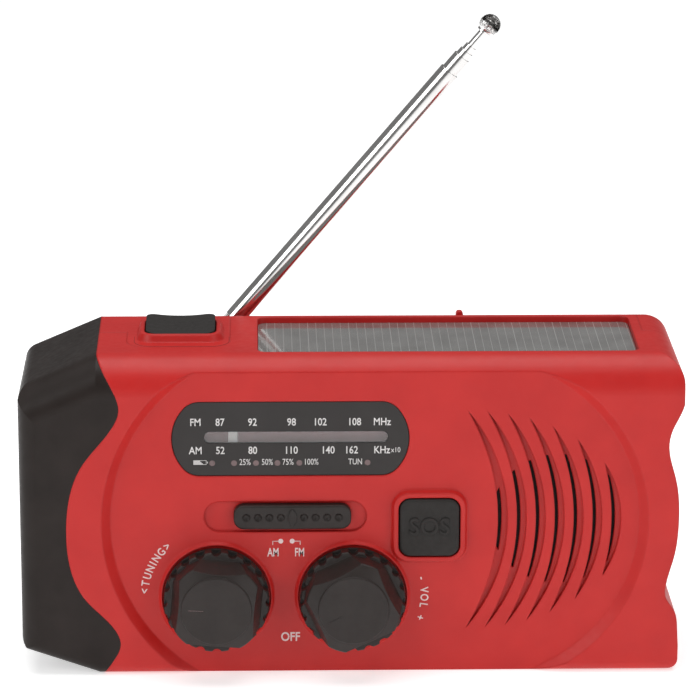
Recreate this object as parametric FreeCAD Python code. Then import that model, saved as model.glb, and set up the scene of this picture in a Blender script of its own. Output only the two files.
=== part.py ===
"""Hand-crank emergency radio: every solid in one frame, millimetres.

X runs to the right along the front, Y runs away from the front, Z is up.
The origin is the middle of the base, on the seam between the two shells.
"""
import FreeCAD
import Part
import math
import os

V = FreeCAD.Vector

# ---------------------------------------------------------------- driving dimensions
LEFT_X = -79.0            # flat end of the nose
RIGHT_X = 78.8            # widest point of the right end
FRONT_Y = -26.0
BACK_Y = 26.0
TOP_Z = 78.4
WALL = 2.0
TOP_WALL = 2.2
FRONT_WALL = 2.0          # behind the sunken panel
FIT = 0.05                # radial running fit
GAP = 0.3                 # gap round buttons and covers
SEAT = 0.15               # gap round parts dropped into a pocket

# outside form
SHOULDER_R = 8.6
EDGE_R = 3.0
SHELF_Y = 14.1            # back edge of the top; the aerial shelf lies behind it
SHELF_Z = TOP_Z - 9.1
NOSE_SLOPE_X = -60.4
NOSE_TOP_Z = TOP_Z - 8.0
NOSE_BOTTOM_Z = 6.5
NOSE_CORNER_R = 4.0
NOSE_EDGE_R = 4.0         # seen from above
TOP_CORNER_R = 6.0
BOTTOM_CORNER_R = 3.5
NOTCH_X = RIGHT_X - 3.4   # grip notches in the right end
BELLY_X = RIGHT_X - 0.6
NOTCH_TOP_Z = 57.5
NOTCH_BOTTOM_Z = 20.0
# parting curve between nose and shells, from the top down (x, z)
NOSE_CURVE = [(NOSE_SLOPE_X, TOP_Z), (-56.4, TOP_Z - 7.2), (-55.1, TOP_Z - 11.9), (-57.1, TOP_Z - 16.7),
              (-63.9, 53.0), (-67.9, 37.0), (-63.3, 18.9), (-56.7, 11.7), (-55.3, 8.0), (-57.4, 3.2),
              (-59.4, 0.0)]

# sunken front panel
PANEL_Y = FRONT_Y + 2.0
PANEL_SLOPE = 2.2
PANEL_LEFT = (-13.0, 38.0, 44.4)     # centre x, centre z, radius
PANEL_RIGHT = (28.0, 38.0, 40.8)
INNER_FRONT_Y = PANEL_Y + FRONT_WALL

# dial
DIAL_X0, DIAL_X1 = -38.0, 9.0
DIAL_Z0, DIAL_Z1 = 49.75, 67.95
DIAL_BULGE = 4.6
DIAL_CORNER_R = 5.0
DIAL_SINK = 0.2
DIAL_T = 1.0
SLOT_X0, SLOT_X1 = -35.0, 8.6
SLOT_Z0, SLOT_Z1 = 57.8, 60.6
WINDOW_T = 0.4
LAMP_R = 0.7
LAMP_Z = 52.8
LAMP_XS = [-33.1, -27.9, -22.7, -17.6, -12.4, 3.8]
POINTER_X = -28.16
POINTER_W = 2.2
RAIL_R = 0.8
RAIL_Y, RAIL_Z = PANEL_Y + 3.6, 64.6
CARRIAGE_L = 9.0
CORD_R = 0.35
CORD_Y = PANEL_Y + 5.8
DRUM_R = 7.2              # to the middle of the cord
DRUM_FLANGE_R = 8.2
DRUM_T = 2.4
GUIDE_R = 1.5             # cord bend radius at the two small guides
CORD_LOW_Z = 56.2
CORD_TOP_Z = 63.4
CORD_TURN_X = 12.0

# knobs
TUNING_X, VOLUME_X, KNOB_Z = -32.24, 0.35, 19.4
KNOB_BACK_Y = PANEL_Y - 1.2
KNOB_SKIRT_Y = PANEL_Y - 4.8
KNOB_FACE_Y = PANEL_Y - 11.0
KNOB_R = 12.6
KNOB_FACE_R = 8.35
KNOB_FACE_T = 1.5
KNOB_HUB_R = 11.4
KNOB_NOTCHES, KNOB_NOTCH_R = 20, 1.2
KNOB_SCOOPS = 4
KNOB_SCOOP_R0, KNOB_SCOOP_R1 = 8.75, 10.8      # flat's distance from the axis, at the face and the skirt
SHAFT_R = 3.0
SHAFT_END_Y = -12.0
RING_IN_R, RING_OUT_R = 12.95, 13.9
RING_H = 0.9
TUNING_SCOOP, VOLUME_SCOOP = 85.0, 115.0

# band slider
SLIDER_X0, SLIDER_X1 = -28.05, -0.05
SLIDER_Z0, SLIDER_Z1 = 36.6, 42.65
SLIDER_FACE_Y = PANEL_Y - 1.5
SLIDER_POCKET = (SLIDER_X0 - 7.07, SLIDER_X1 + 3.71, SLIDER_Z0 - 1.02, SLIDER_Z1 + 0.55)
SLIDER_POCKET_Y = PANEL_Y + 0.8
SLIDER_TRAVEL = 2.74
SLIDER_STEM_W, SLIDER_STEM_H = 6.0, 3.0
DIMPLE_PITCH = 2.75
DIMPLE_R = 1.1
RIB_R, RIB_W, RIB_H = 2.9, 2.0, 0.35       # pointed rib in the middle of the cap
SLIDER_CORNER_R = 2.4

# SOS button
SOS_X0, SOS_X1 = 11.5, 25.7
SOS_Z0, SOS_Z1 = 29.8, 44.1
SOS_CORNER_R = 2.6
SOS_FACE_Y = PANEL_Y - 2.0
SOS_FRAME_Y = PANEL_Y - 1.5
SOS_FRAME_W = 1.7
SOS_TRAVEL = 1.0
FLANGE = 1.2
FLANGE_T = 1.0

# torch button and its collar
TORCH_X0, TORCH_X1 = -49.0, -32.4
TORCH_Y0, TORCH_Y1 = -7.0, 5.5
TORCH_TOP_Z = TOP_Z + 3.3
TORCH_DIP = 0.7
TORCH_FALL = 1.3                     # how much lower the top is at its front edge
TORCH_CORNER_R = 2.2
TORCH_TRAVEL = 1.2
COLLAR_TOP_Z = TOP_Z + 1.7
COLLAR_W = 1.6
INSET_X0, INSET_X1 = -53.5, -28.8    # part of the top that belongs to the rear shell
INSET_Y = -12.7
INSET_R = 5.0
SPLIT_Z = TOP_Z - 5.4

# solar panel
SOLAR_X0, SOLAR_X1 = -22.0, RIGHT_X - 10.3
SOLAR_Y0, SOLAR_Y1 = -17.2, 12.4
SOLAR_R = 2.0
TONGUE_X1 = SOLAR_X1 + 2.5           # window frame that belongs to the front shell
SOLAR_SINK = 1.4
SOLAR_T = 1.2
TRAY_T = 1.6

# grille and speaker
SPEAKER_X, SPEAKER_Z = 49.4, 38.2
SLIT_ZONE_R = 16.2
GRILLE_RIM = (28.7, 37.0, 27.5)      # ellipse that the groove tips lie on: centre x, half width, half height
GROOVES = 7
GROOVE_X0 = 36.2
GROOVE_PITCH = 4.53
GROOVE_W = 2.3
SLIT_W = 0.9
GROOVE_R = 54.0
GROOVE_DEPTH = 1.1
SPEAKER_R = 18.0
SPEAKER_FLANGE_T = 1.2
SPEAKER_DEPTH = 9.0
MAGNET_R, MAGNET_T = 11.0, 6.5
CLOTH_T = 0.4

# torch
LENS_R, LENS_T = 20.0, 1.6
LENS_Z = 38.4
REFLECTOR_R, REFLECTOR_D = 18.6, 13.0
REFLECTOR_NECK_R = 4.0
BULKHEAD_X, BULKHEAD_T = -60.0, 1.8
LAMP_BOARD_R, LAMP_BOARD_T = 12.0, 1.4

# crank, gears and generator
CRANK_X, CRANK_Z = 38.0, 35.0
DISH_R = 30.0
DISH_Y = 16.0
DISH_WALL = 2.0
MODULE = 0.8
CRANK_TEETH, PINION_TEETH, WHEEL_TEETH = 50, 12, 40
BACKLASH = 0.14
ROOT_EASE = 0.1
IDLER_ANGLE = 150.0
GEAR_Y, GEAR_T = 8.0, 3.0
WHEEL_Y, WHEEL_T = 3.8, 2.8
PLATE_Y, PLATE_T = 1.8, 1.4
PLATE_X0, PLATE_X1, PLATE_Z0, PLATE_Z1 = -17.0, 63.0, 24.5, 60.0
PLATE_POST_R = 2.5
AXLE_R = 1.5
CRANK_SHAFT_R = 3.0
GENERATOR_R, GENERATOR_D = 12.0, 7.0
ARM_Y, ARM_T = 17.0, 5.0
ARM_W = 15.0
ARM_L = 28.4
GRIP_R, GRIP_L = 4.6, 14.0
GRIP_PIVOT = 24.0
GRIP_PIN_R = 1.2
KNUCKLE_R = 2.8
KNUCKLE_W = 5.0
SPINDLE_R = 1.6

# cell and its tray
CELL_R, CELL_L = 9.2, 65.0
CELL_X0, CELL_Y, CELL_Z = -56.9, 4.6, 12.0
CONTACT_W, CONTACT_T = 10.0, 0.4
TRAY_END = 0.9
COVER_X0, COVER_X1, COVER_Z0, COVER_Z1 = -53.0, 9.2, 2.7, 22.4
COVER_T = 1.4
COVER_LIP = 1.0

# sockets and their cover
PORT_X0, PORT_X1, PORT_Z0, PORT_Z1 = -46.0, -20.0, 42.0, 58.0
PORT_DEPTH = 4.0
PORT_COVER_T = 1.2
PORT_BOARD_Z, PORT_BOARD_T = 45.2, 1.2
USB_A = (-39.5, 13.2, 5.8, 11.0)          # centre x, width, height, depth
USB_MICRO = (-26.2, 7.6, 2.8, 6.0)
HINGE_R = 1.2
HINGE_PIN_R = 0.6
JACK_X, JACK_Z = -36.0, 33.0
JACK_BORE_R, JACK_BARREL_R = 1.8, 3.0
JACK_L = 12.0

# boards, tuning capacitor, ferrite rod, switches
CAPACITOR_W = 20.0
BOARD_Y, BOARD_T = -8.0, 1.6
BOARD_X0, BOARD_X1, BOARD_Z0, BOARD_Z1 = -45.5, 28.0, 5.0, 64.0
STANDOFFS = [(-43.0, 58.0), (-43.0, 34.0), (24.0, 60.0), (24.0, 9.0)]
STANDOFF_R = 2.0
ROD_R, ROD_X0, ROD_X1 = 4.0, -20.0, 58.0
ROD_Y, ROD_Z = -8.0, TOP_Z - 9.2
COIL_R, COIL_X0, COIL_X1 = 4.8, 2.0, 24.0
SWITCH_W, SWITCH_H = 6.0, 3.8
SWITCH_BOARD_Z, SWITCH_BOARD_T = TOP_Z - 13.4, 1.2

# case screws
SCREWS = [(-50.0, 32.0), (-50.8, 60.3), (RIGHT_X - 9.8, 62.5), (RIGHT_X - 9.8, 8.0)]
POST_R = 4.0
SCREW_R, SCREW_HEAD_R, SCREW_HEAD_T = 1.2, 2.3, 1.8
SCREW_SEAT_Y, SCREW_TIP_Y = 8.0, -10.0

# aerial
AERIAL_TILT = 49.8
TUBE_R = 2.5
TUBE_STEP = 0.35
TUBE_WALL = 0.25
TUBE_ENDS = [86.3, 90.95, 92.65, 94.3, 98.8]
TUBE_STARTS = [5.0, 12.0, 15.0, 18.0, 21.0]
TUBE_START = TUBE_STARTS[0]
TIP_R, TIP_L = 2.6, 3.4
TURRET_R, TURRET_DISC_T = 4.6, 0.6
STUB_R = 3.0
RIVET_R, RIVET_T = 3.7, 0.9
AERIAL_X, AERIAL_Y, AERIAL_Z = -31.0, BACK_Y - WALL - GAP - RIVET_R, SHELF_Z + 3.1
TAB_T, TAB_R = 3.0, 2.2
CHEEK_T, CHEEK_R = 1.7, 3.0
PIVOT_PIN_R = 1.0
CLIP_X, CLIP_W, CLIP_END_R = 28.0, 1.8, 0.8
CLIP_Y0, CLIP_Y1, CLIP_TOP_Z = AERIAL_Y + 3.1, AERIAL_Y + 5.0, SHELF_Z + 7.4


# ---------------------------------------------------------------- helpers
def box(x0, x1, y0, y1, z0, z1):
    return Part.makeBox(x1 - x0, y1 - y0, z1 - z0, V(x0, y0, z0))


def xcyl(y, z, r, x0, x1):
    return Part.makeCylinder(r, x1 - x0, V(x0, y, z), V(1, 0, 0))


def ycyl(x, z, r, y0, y1):
    return Part.makeCylinder(r, y1 - y0, V(x, y0, z), V(0, 1, 0))


def zcyl(x, y, r, z0, z1):
    return Part.makeCylinder(r, z1 - z0, V(x, y, z0), V(0, 0, 1))


def fuse(first, *rest):
    return first.fuse(list(rest)).removeSplitter() if rest else first


def cut(shape, *tools):
    for tool in tools:
        shape = shape.cut(tool)
    return shape


def polygon(points):
    return Part.Face(Part.makePolygon(list(points) + [points[0]]))


def revolve_y(profile, x, z):
    """Solid of revolution about a line along Y; profile points are (radius, y)."""
    face = polygon([V(x + r, y, z) for r, y in profile])
    return face.revolve(V(x, 0, z), V(0, 1, 0), 360)


def round_rect(x0, x1, z0, z1, r, y):
    """Closed wire in the plane at y, corners rounded."""
    k = r * (1 - math.sqrt(0.5))
    arcs = [(V(x0, y, z1 - r), V(x0 + k, y, z1 - k), V(x0 + r, y, z1)),
            (V(x1 - r, y, z1), V(x1 - k, y, z1 - k), V(x1, y, z1 - r)),
            (V(x1, y, z0 + r), V(x1 - k, y, z0 + k), V(x1 - r, y, z0)),
            (V(x0 + r, y, z0), V(x0 + k, y, z0 + k), V(x0, y, z0 + r))]
    edges = []
    for i, (a, b, c) in enumerate(arcs):
        edges.append(Part.Arc(a, b, c).toShape())
        follow = arcs[(i + 1) % 4][0]
        if c.distanceToPoint(follow) > 1e-6:
            edges.append(Part.makeLine(c, follow))
    return Part.Wire(edges)


def slab(x0, x1, z0, z1, r, y0, y1):
    """Plate with rounded corners, standing across Y."""
    return Part.Face(round_rect(x0, x1, z0, z1, r, y0)).extrude(V(0, y1 - y0, 0))


def tile(x0, x1, y0, y1, r, z0, z1):
    """Plate with rounded corners, lying across Z."""
    flat = slab(x0, x1, -y1, -y0, r, z0, z1)
    return turn(flat, V(0, 0, 0), V(1, 0, 0), 90)


def taper(x0, x1, z0, z1, r, y0, y1, inset):
    """Rounded block across Y whose outline shrinks by inset from y0 to y1."""
    wires = [round_rect(x0, x1, z0, z1, r, y0),
             round_rect(x0 + inset, x1 - inset, z0 + inset, z1 - inset, max(r - inset, 0.3), y1)]
    return Part.makeLoft(wires, True, True)


def turn(shape, centre, axis, degrees):
    moved = shape.copy()
    moved.rotate(centre, axis, degrees)
    return moved


def offset_line(p, q, distance):
    """Line from p to q moved sideways, to its right hand side."""
    length = math.hypot(q[0] - p[0], q[1] - p[1])
    nx, nz = (q[1] - p[1]) / length, -(q[0] - p[0]) / length
    return ((p[0] + nx * distance, p[1] + nz * distance), (q[0] + nx * distance, q[1] + nz * distance))


def at_x(line, x):
    (x0, z0), (x1, z1) = line
    return z0 + (z1 - z0) * (x - x0) / (x1 - x0)


def at_z(line, z):
    (x0, z0), (x1, z1) = line
    return x0 + (x1 - x0) * (z - z0) / (z1 - z0)


# ---------------------------------------------------------------- outside form
def outer_outline():
    """Front silhouette, nose included."""
    y = FRONT_Y
    k = 1 - math.sqrt(0.5)
    top, low = TOP_CORNER_R, BOTTOM_CORNER_R
    mid_z = (NOTCH_TOP_Z + NOTCH_BOTTOM_Z) / 2
    right = Part.BSplineCurve()
    half = (NOTCH_X + BELLY_X) / 2 + 0.4
    right.interpolate([V(RIGHT_X, y, NOTCH_TOP_Z + 10.0), V(RIGHT_X - 1.0, y, NOTCH_TOP_Z + 7.2),
                       V(NOTCH_X + 0.7, y, NOTCH_TOP_Z + 3.6), V(NOTCH_X, y, NOTCH_TOP_Z - 0.5),
                       V(half, y, NOTCH_TOP_Z - 8.5), V(BELLY_X, y, mid_z), V(half, y, NOTCH_BOTTOM_Z + 9.0),
                       V(NOTCH_X, y, NOTCH_BOTTOM_Z + 1.5), V(NOTCH_X + 0.1, y, NOTCH_BOTTOM_Z - 0.8),
                       V(RIGHT_X - 1.1, y, NOTCH_BOTTOM_Z - 4.4), V(RIGHT_X - 0.3, y, NOTCH_BOTTOM_Z - 8.5),
                       V(RIGHT_X, y, low + 3.0)])
    edges = [
        Part.makeLine(V(NOSE_SLOPE_X, y, TOP_Z), V(RIGHT_X - top, y, TOP_Z)),
        Part.Arc(V(RIGHT_X - top, y, TOP_Z), V(RIGHT_X - top * k, y, TOP_Z - top * k),
                 V(RIGHT_X, y, TOP_Z - top)).toShape(),
        Part.makeLine(V(RIGHT_X, y, TOP_Z - top), V(RIGHT_X, y, NOTCH_TOP_Z + 10.0)),
        right.toShape(),
        Part.makeLine(V(RIGHT_X, y, low + 3.0), V(RIGHT_X, y, low)),
        Part.Arc(V(RIGHT_X, y, low), V(RIGHT_X - low * k, y, low * k), V(RIGHT_X - low, y, 0)).toShape(),
        Part.makeLine(V(RIGHT_X - low, y, 0), V(NOSE_SLOPE_X, y, 0)),
        Part.makeLine(V(NOSE_SLOPE_X, y, 0), V(LEFT_X, y, NOSE_BOTTOM_Z)),
        Part.makeLine(V(LEFT_X, y, NOSE_BOTTOM_Z), V(LEFT_X, y, NOSE_TOP_Z)),
        Part.makeLine(V(LEFT_X, y, NOSE_TOP_Z), V(NOSE_SLOPE_X, y, TOP_Z))]
    return Part.Wire(edges)


def outer_section():
    """Cross section where the nose begins, with the aerial shelf at the top of the back."""
    x, k, r, e = NOSE_SLOPE_X, 1 - math.sqrt(0.5), SHOULDER_R, EDGE_R
    edges = [
        Part.makeLine(V(x, FRONT_Y, e), V(x, FRONT_Y, TOP_Z - r)),
        Part.Arc(V(x, FRONT_Y, TOP_Z - r), V(x, FRONT_Y + r * k, TOP_Z - r * k),
                 V(x, FRONT_Y + r, TOP_Z)).toShape(),
        Part.makeLine(V(x, FRONT_Y + r, TOP_Z), V(x, SHELF_Y, TOP_Z)),
        Part.makeLine(V(x, SHELF_Y, TOP_Z), V(x, SHELF_Y, SHELF_Z)),
        Part.makeLine(V(x, SHELF_Y, SHELF_Z), V(x, BACK_Y, SHELF_Z)),
        Part.makeLine(V(x, BACK_Y, SHELF_Z), V(x, BACK_Y, e)),
        Part.Arc(V(x, BACK_Y, e), V(x, BACK_Y - e * k, e * k), V(x, BACK_Y - e, 0)).toShape(),
        Part.makeLine(V(x, BACK_Y - e, 0), V(x, FRONT_Y + e, 0)),
        Part.Arc(V(x, FRONT_Y + e, 0), V(x, FRONT_Y + e * k, e * k), V(x, FRONT_Y, e)).toShape()]
    return Part.Wire(edges)


def outside():
    body = Part.Face(outer_outline()).extrude(V(0, BACK_Y - FRONT_Y, 0))
    ends = [e for e in body.Edges if e.BoundBox.XMax < LEFT_X + 0.01 and e.BoundBox.YLength > BACK_Y]
    body = body.makeFillet(NOSE_CORNER_R, ends)
    body = body.common(tile(LEFT_X, RIGHT_X + 2 * NOSE_EDGE_R, FRONT_Y, BACK_Y, NOSE_EDGE_R, -1, TOP_Z + 1))
    section = Part.Face(outer_section())
    straight = body.common(section.extrude(V(RIGHT_X - NOSE_SLOPE_X + 2, 0, 0)))
    return fuse(straight, body.common(nose_limit(section)))


def nose_limit(section):
    """The cross section swept left along both slopes of the nose, so that its rounded edges follow them."""
    run = LEFT_X - 1 - NOSE_SLOPE_X
    scale = run / (LEFT_X - NOSE_SLOPE_X)
    downwards = section.extrude(V(run, 0, (NOSE_TOP_Z - TOP_Z) * scale))
    upwards = section.extrude(V(run, 0, NOSE_BOTTOM_Z * scale))
    return downwards.common(upwards)


def inside():
    """Hollow of the case: the outside moved in by the walls."""
    x0, x1 = LEFT_X + WALL, NOTCH_X - TOP_WALL
    z0, z1 = TOP_WALL, TOP_Z - TOP_WALL
    top = offset_line((LEFT_X, NOSE_TOP_Z), (NOSE_SLOPE_X, TOP_Z), WALL)
    low = offset_line((NOSE_SLOPE_X, 0), (LEFT_X, NOSE_BOTTOM_Z), WALL)
    outline = [(x0, at_x(low, x0)), (x0, at_x(top, x0)), (at_z(top, z1), z1), (x1, z1), (x1, z0),
               (at_z(low, z0), z0)]
    body = polygon([V(x, INNER_FRONT_Y, z) for x, z in outline])
    body = body.extrude(V(0, BACK_Y - WALL - INNER_FRONT_Y, 0))
    under = SHELF_Z - TOP_WALL
    drop = offset_line((LEFT_X, NOSE_TOP_Z - TOP_Z + SHELF_Z), (NOSE_SLOPE_X, SHELF_Z), WALL)
    shelf = polygon([V(x, SHELF_Y - WALL, z) for x, z in
                     [(x0 - 1, at_x(drop, x0 - 1)), (at_z(drop, under), under), (x1 + 1, under),
                      (x1 + 1, z1 + 1), (x0 - 1, z1 + 1)]])
    shelf = shelf.extrude(V(0, BACK_Y - SHELF_Y + WALL, 0))
    corner = box(x0 - 1, x1 + 1, INNER_FRONT_Y - 1, FRONT_Y + SHOULDER_R, TOP_Z - SHOULDER_R, z1 + 1)
    round_in = xcyl(FRONT_Y + SHOULDER_R, TOP_Z - SHOULDER_R, SHOULDER_R - TOP_WALL, x0 - 1, x1 + 1)
    return cut(body, shelf, corner.cut(round_in))


def nose_region():
    """Everything on the nose side of the parting curve."""
    y, reach = FRONT_Y - 1, 3.0
    curve = Part.BSplineCurve()
    curve.interpolate([V(x, y, z) for x, z in NOSE_CURVE])
    (xa, za), (xb, zb) = NOSE_CURVE[0], NOSE_CURVE[-1]
    start, end = V(xa, y, za), V(xb, y, zb)
    over, under = V(xa, y, za + reach), V(xb, y, zb - reach)
    far_over, far_under = V(LEFT_X - reach, y, za + reach), V(LEFT_X - reach, y, zb - reach)
    wire = Part.Wire([curve.toShape(), Part.makeLine(end, under), Part.makeLine(under, far_under),
                      Part.makeLine(far_under, far_over), Part.makeLine(far_over, over),
                      Part.makeLine(over, start)])
    return Part.Face(wire).extrude(V(0, BACK_Y - FRONT_Y + 2, 0))


def front_panel_cut():
    """Sunken panel: two discs and the stretch between them, with a sloping edge."""
    tools = []
    for x, z, r in (PANEL_LEFT, PANEL_RIGHT):
        deep = FRONT_Y - 1 - PANEL_Y
        slope = PANEL_SLOPE * deep / (FRONT_Y - PANEL_Y)
        tools.append(Part.makeCone(r, r + slope, -deep, V(x, PANEL_Y, z), V(0, -1, 0)))
    tools.append(box(PANEL_LEFT[0], PANEL_RIGHT[0], FRONT_Y - 1, PANEL_Y, -1, TOP_Z + 1))
    return fuse(*tools)


# ---------------------------------------------------------------- front shell
def dial_outline(margin, y):
    """Dial outline before its corners are rounded: straight top and bottom, bulged ends."""
    z0, z1, mid = DIAL_Z0 - margin, DIAL_Z1 + margin, (DIAL_Z0 + DIAL_Z1) / 2
    right = Part.Arc(V(DIAL_X1, y, z1), V(DIAL_X1 + DIAL_BULGE + margin, y, mid), V(DIAL_X1, y, z0)).toShape()
    left = Part.Arc(V(DIAL_X0, y, z0), V(DIAL_X0 - DIAL_BULGE - margin, y, mid), V(DIAL_X0, y, z1)).toShape()
    return Part.Wire([Part.makeLine(V(DIAL_X0, y, z1), V(DIAL_X1, y, z1)), right,
                      Part.makeLine(V(DIAL_X1, y, z0), V(DIAL_X0, y, z0)), left])


def dial_slab(margin, y0, y1):
    plate = Part.Face(dial_outline(margin, y0)).extrude(V(0, y1 - y0, 0))
    corners = [e for e in plate.Edges if e.BoundBox.YLength > (y1 - y0) / 2]
    return plate.makeFillet(DIAL_CORNER_R + margin, corners)


def groove_tip(mid_x):
    """Tip of a groove's left arc, where it meets the rim: x, and height above the grille's middle."""
    cx, a, b = GRILLE_RIM
    bx = mid_x - GROOVE_R
    square = 1 / a ** 2 - 1 / b ** 2
    linear = 2 * bx / b ** 2 - 2 * cx / a ** 2
    constant = cx ** 2 / a ** 2 + (GROOVE_R ** 2 - bx ** 2) / b ** 2 - 1
    spread = math.sqrt(linear ** 2 - 4 * square * constant)
    x = (-linear - spread) / (2 * square)
    return x, math.sqrt(GROOVE_R ** 2 - (x - bx) ** 2)


def crescent(mid_left, width, y0, y1):
    """Groove between two arcs that meet on the grille's rim."""
    x, height = groove_tip(mid_left)
    top, low = V(x, y0, SPEAKER_Z + height), V(x, y0, SPEAKER_Z - height)
    outer = Part.Arc(top, V(mid_left + width, y0, SPEAKER_Z), low).toShape()
    inner = Part.Arc(low, V(mid_left, y0, SPEAKER_Z), top).toShape()
    return Part.Face(Part.Wire([outer, inner])).extrude(V(0, y1 - y0, 0))


def grille_cuts():
    cuts = []
    zone = ycyl(SPEAKER_X, SPEAKER_Z, SLIT_ZONE_R, PANEL_Y, INNER_FRONT_Y + 1)
    for i in range(GROOVES):
        left = GROOVE_X0 + i * GROOVE_PITCH - GROOVE_W / 2
        cuts.append(crescent(left, GROOVE_W, PANEL_Y - 1, PANEL_Y + GROOVE_DEPTH))
        cuts.append(crescent(left, SLIT_W, PANEL_Y, INNER_FRONT_Y + 1).common(zone))
    return cuts


def knob_ring(x):
    crest = PANEL_Y - RING_H
    return revolve_y([(RING_IN_R, PANEL_Y + 0.1), (RING_IN_R, crest + 0.2), (RING_IN_R + 0.15, crest),
                      (RING_IN_R + 0.3, crest), (RING_OUT_R, PANEL_Y), (RING_OUT_R, PANEL_Y + 0.1)],
                     x, KNOB_Z)


def slider_slot():
    mid_x, mid_z = (SLIDER_X0 + SLIDER_X1) / 2, (SLIDER_Z0 + SLIDER_Z1) / 2
    half_w, half_h = SLIDER_STEM_W / 2 + GAP, SLIDER_STEM_H / 2 + GAP
    return box(mid_x - half_w - SLIDER_TRAVEL, mid_x + half_w, SLIDER_POCKET_Y - 1, INNER_FRONT_Y + 1,
               mid_z - half_h, mid_z + half_h)


def cord_guides():
    """Moulded posts that the dial cord runs round, with the posts that hold the pointer rail."""
    turn_r = (CORD_TOP_Z - CORD_LOW_Z) / 2
    end_y = CORD_Y + CORD_R + 0.4
    left, right = TUNING_X - DRUM_R, TUNING_X + DRUM_R
    posts = [ycyl(left + GUIDE_R, CORD_TOP_Z - GUIDE_R, GUIDE_R - CORD_R, INNER_FRONT_Y - 0.5, end_y),
             ycyl(right + GUIDE_R, CORD_LOW_Z - GUIDE_R, GUIDE_R - CORD_R, INNER_FRONT_Y - 0.5, end_y),
             ycyl(CORD_TURN_X + turn_r, CORD_LOW_Z + turn_r, turn_r - CORD_R, INNER_FRONT_Y - 0.5, end_y)]
    return posts


def rail_ends():
    left = POINTER_X - CARRIAGE_L - 3.6
    right = CORD_TURN_X - 1.5
    return left, right


def rail_posts():
    left, right = rail_ends()
    posts = []
    for x in (left, right):
        post = box(x - 1.2, x + 1.2, INNER_FRONT_Y - 0.5, RAIL_Y + RAIL_R + 0.8, RAIL_Z - 2.0, RAIL_Z + 2.0)
        posts.append(post.cut(xcyl(RAIL_Y, RAIL_Z, RAIL_R, x - 2, x + 2)))
    return posts


def front_region():
    """Space in front of the seam, with the two places where the seam steps over."""
    far = 120
    front = box(-far, far, -far, 0, -far, far)
    inset = tile(INSET_X0, INSET_X1, INSET_Y, -INSET_Y, INSET_R, SPLIT_Z, far)
    tongue = box(INSET_X1, TONGUE_X1, -1, SHELF_Y + 1, SPLIT_Z, far)
    return fuse(front.cut(inset), tongue)


def make_front_shell(skin, region):
    shell = skin.common(region)
    solar_z = TOP_Z - SOLAR_SINK - SOLAR_T
    tray = box(SOLAR_X0 - WALL, SOLAR_X1 + WALL, SOLAR_Y0 - WALL, SHELF_Y,
               solar_z - TRAY_T, TOP_Z - TOP_WALL + 0.1)
    ribs = [box(x, x + 2, ROD_Y - 3, ROD_Y + 3, ROD_Z, solar_z - TRAY_T + 0.1)
            for x in (ROD_X0 + 6, ROD_X1 - 8)]
    posts = [ycyl(x, z, POST_R, INNER_FRONT_Y - 0.1, 0) for x, z in SCREWS]
    posts += [ycyl(x, z, STANDOFF_R, INNER_FRONT_Y - 0.1, BOARD_Y) for x, z in STANDOFFS]
    frame = taper(SOS_X0 - SOS_FRAME_W - 0.3, SOS_X1 + SOS_FRAME_W + 0.3, SOS_Z0 - SOS_FRAME_W - 0.3,
                  SOS_Z1 + SOS_FRAME_W + 0.3, SOS_CORNER_R + SOS_FRAME_W, PANEL_Y + 0.1, SOS_FRAME_Y, 0.6)
    shell = fuse(shell, tray, frame, knob_ring(TUNING_X), knob_ring(VOLUME_X), *posts, *ribs,
                 *cord_guides(), *rail_posts())
    well = PANEL_Y + DIAL_SINK + DIAL_T
    x0, x1, z0, z1 = SLIDER_POCKET
    shell = cut(
        shell,
        tile(SOLAR_X0 - SEAT, SOLAR_X1 + SEAT, SOLAR_Y0 - SEAT, SOLAR_Y1 + SEAT, SOLAR_R + SEAT,
             solar_z, TOP_Z + 1),
        xcyl(ROD_Y, ROD_Z, ROD_R, ROD_X0, ROD_X1),
        dial_slab(SEAT, FRONT_Y, well),
        box(SLOT_X0 - 1, SLOT_X1 + 1, well - 1, INNER_FRONT_Y + 1, SLOT_Z0 - 1.5, RAIL_Z + 0.8),
        slab(x0, x1, z0, z1, (z1 - z0) / 2 - 0.01, FRONT_Y, SLIDER_POCKET_Y),
        slider_slot(),
        slab(SOS_X0 - GAP, SOS_X1 + GAP, SOS_Z0 - GAP, SOS_Z1 + GAP, SOS_CORNER_R + GAP, FRONT_Y - 1,
             INNER_FRONT_Y + 1),
        ycyl(TUNING_X, KNOB_Z, SHAFT_R + FIT, FRONT_Y - 1, INNER_FRONT_Y + 1),
        ycyl(VOLUME_X, KNOB_Z, SHAFT_R + FIT, FRONT_Y - 1, INNER_FRONT_Y + 1),
        *grille_cuts(),
        *[ycyl(x, z, SCREW_R, SCREW_TIP_Y, 1) for x, z in SCREWS])
    return shell


# ---------------------------------------------------------------- rear shell
def torch_collar():
    block = taper(TORCH_X0 - COLLAR_W - 0.6, TORCH_X1 + COLLAR_W + 0.6, -TORCH_Y1 - COLLAR_W - 0.6,
                  -TORCH_Y0 + COLLAR_W + 0.6, TORCH_CORNER_R + COLLAR_W, TOP_Z - 0.1, COLLAR_TOP_Z, 0.9)
    return turn(block, V(0, 0, 0), V(1, 0, 0), 90)


def plate_posts():
    """Posts that carry the gear plate: (x, z, y where the post is rooted)."""
    dish_back = DISH_Y - DISH_WALL
    return [(CRANK_X + 21.0, CRANK_Z + 20.0, dish_back), (CRANK_X - 23.2, CRANK_Z - 7.6, dish_back),
            (PLATE_X0 + 6.5, PLATE_Z0 + 8.0, BACK_Y - WALL)]


def port_hinge():
    return BACK_Y - PORT_COVER_T - 0.4, PORT_Z0 + HINGE_R + 0.4


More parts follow.
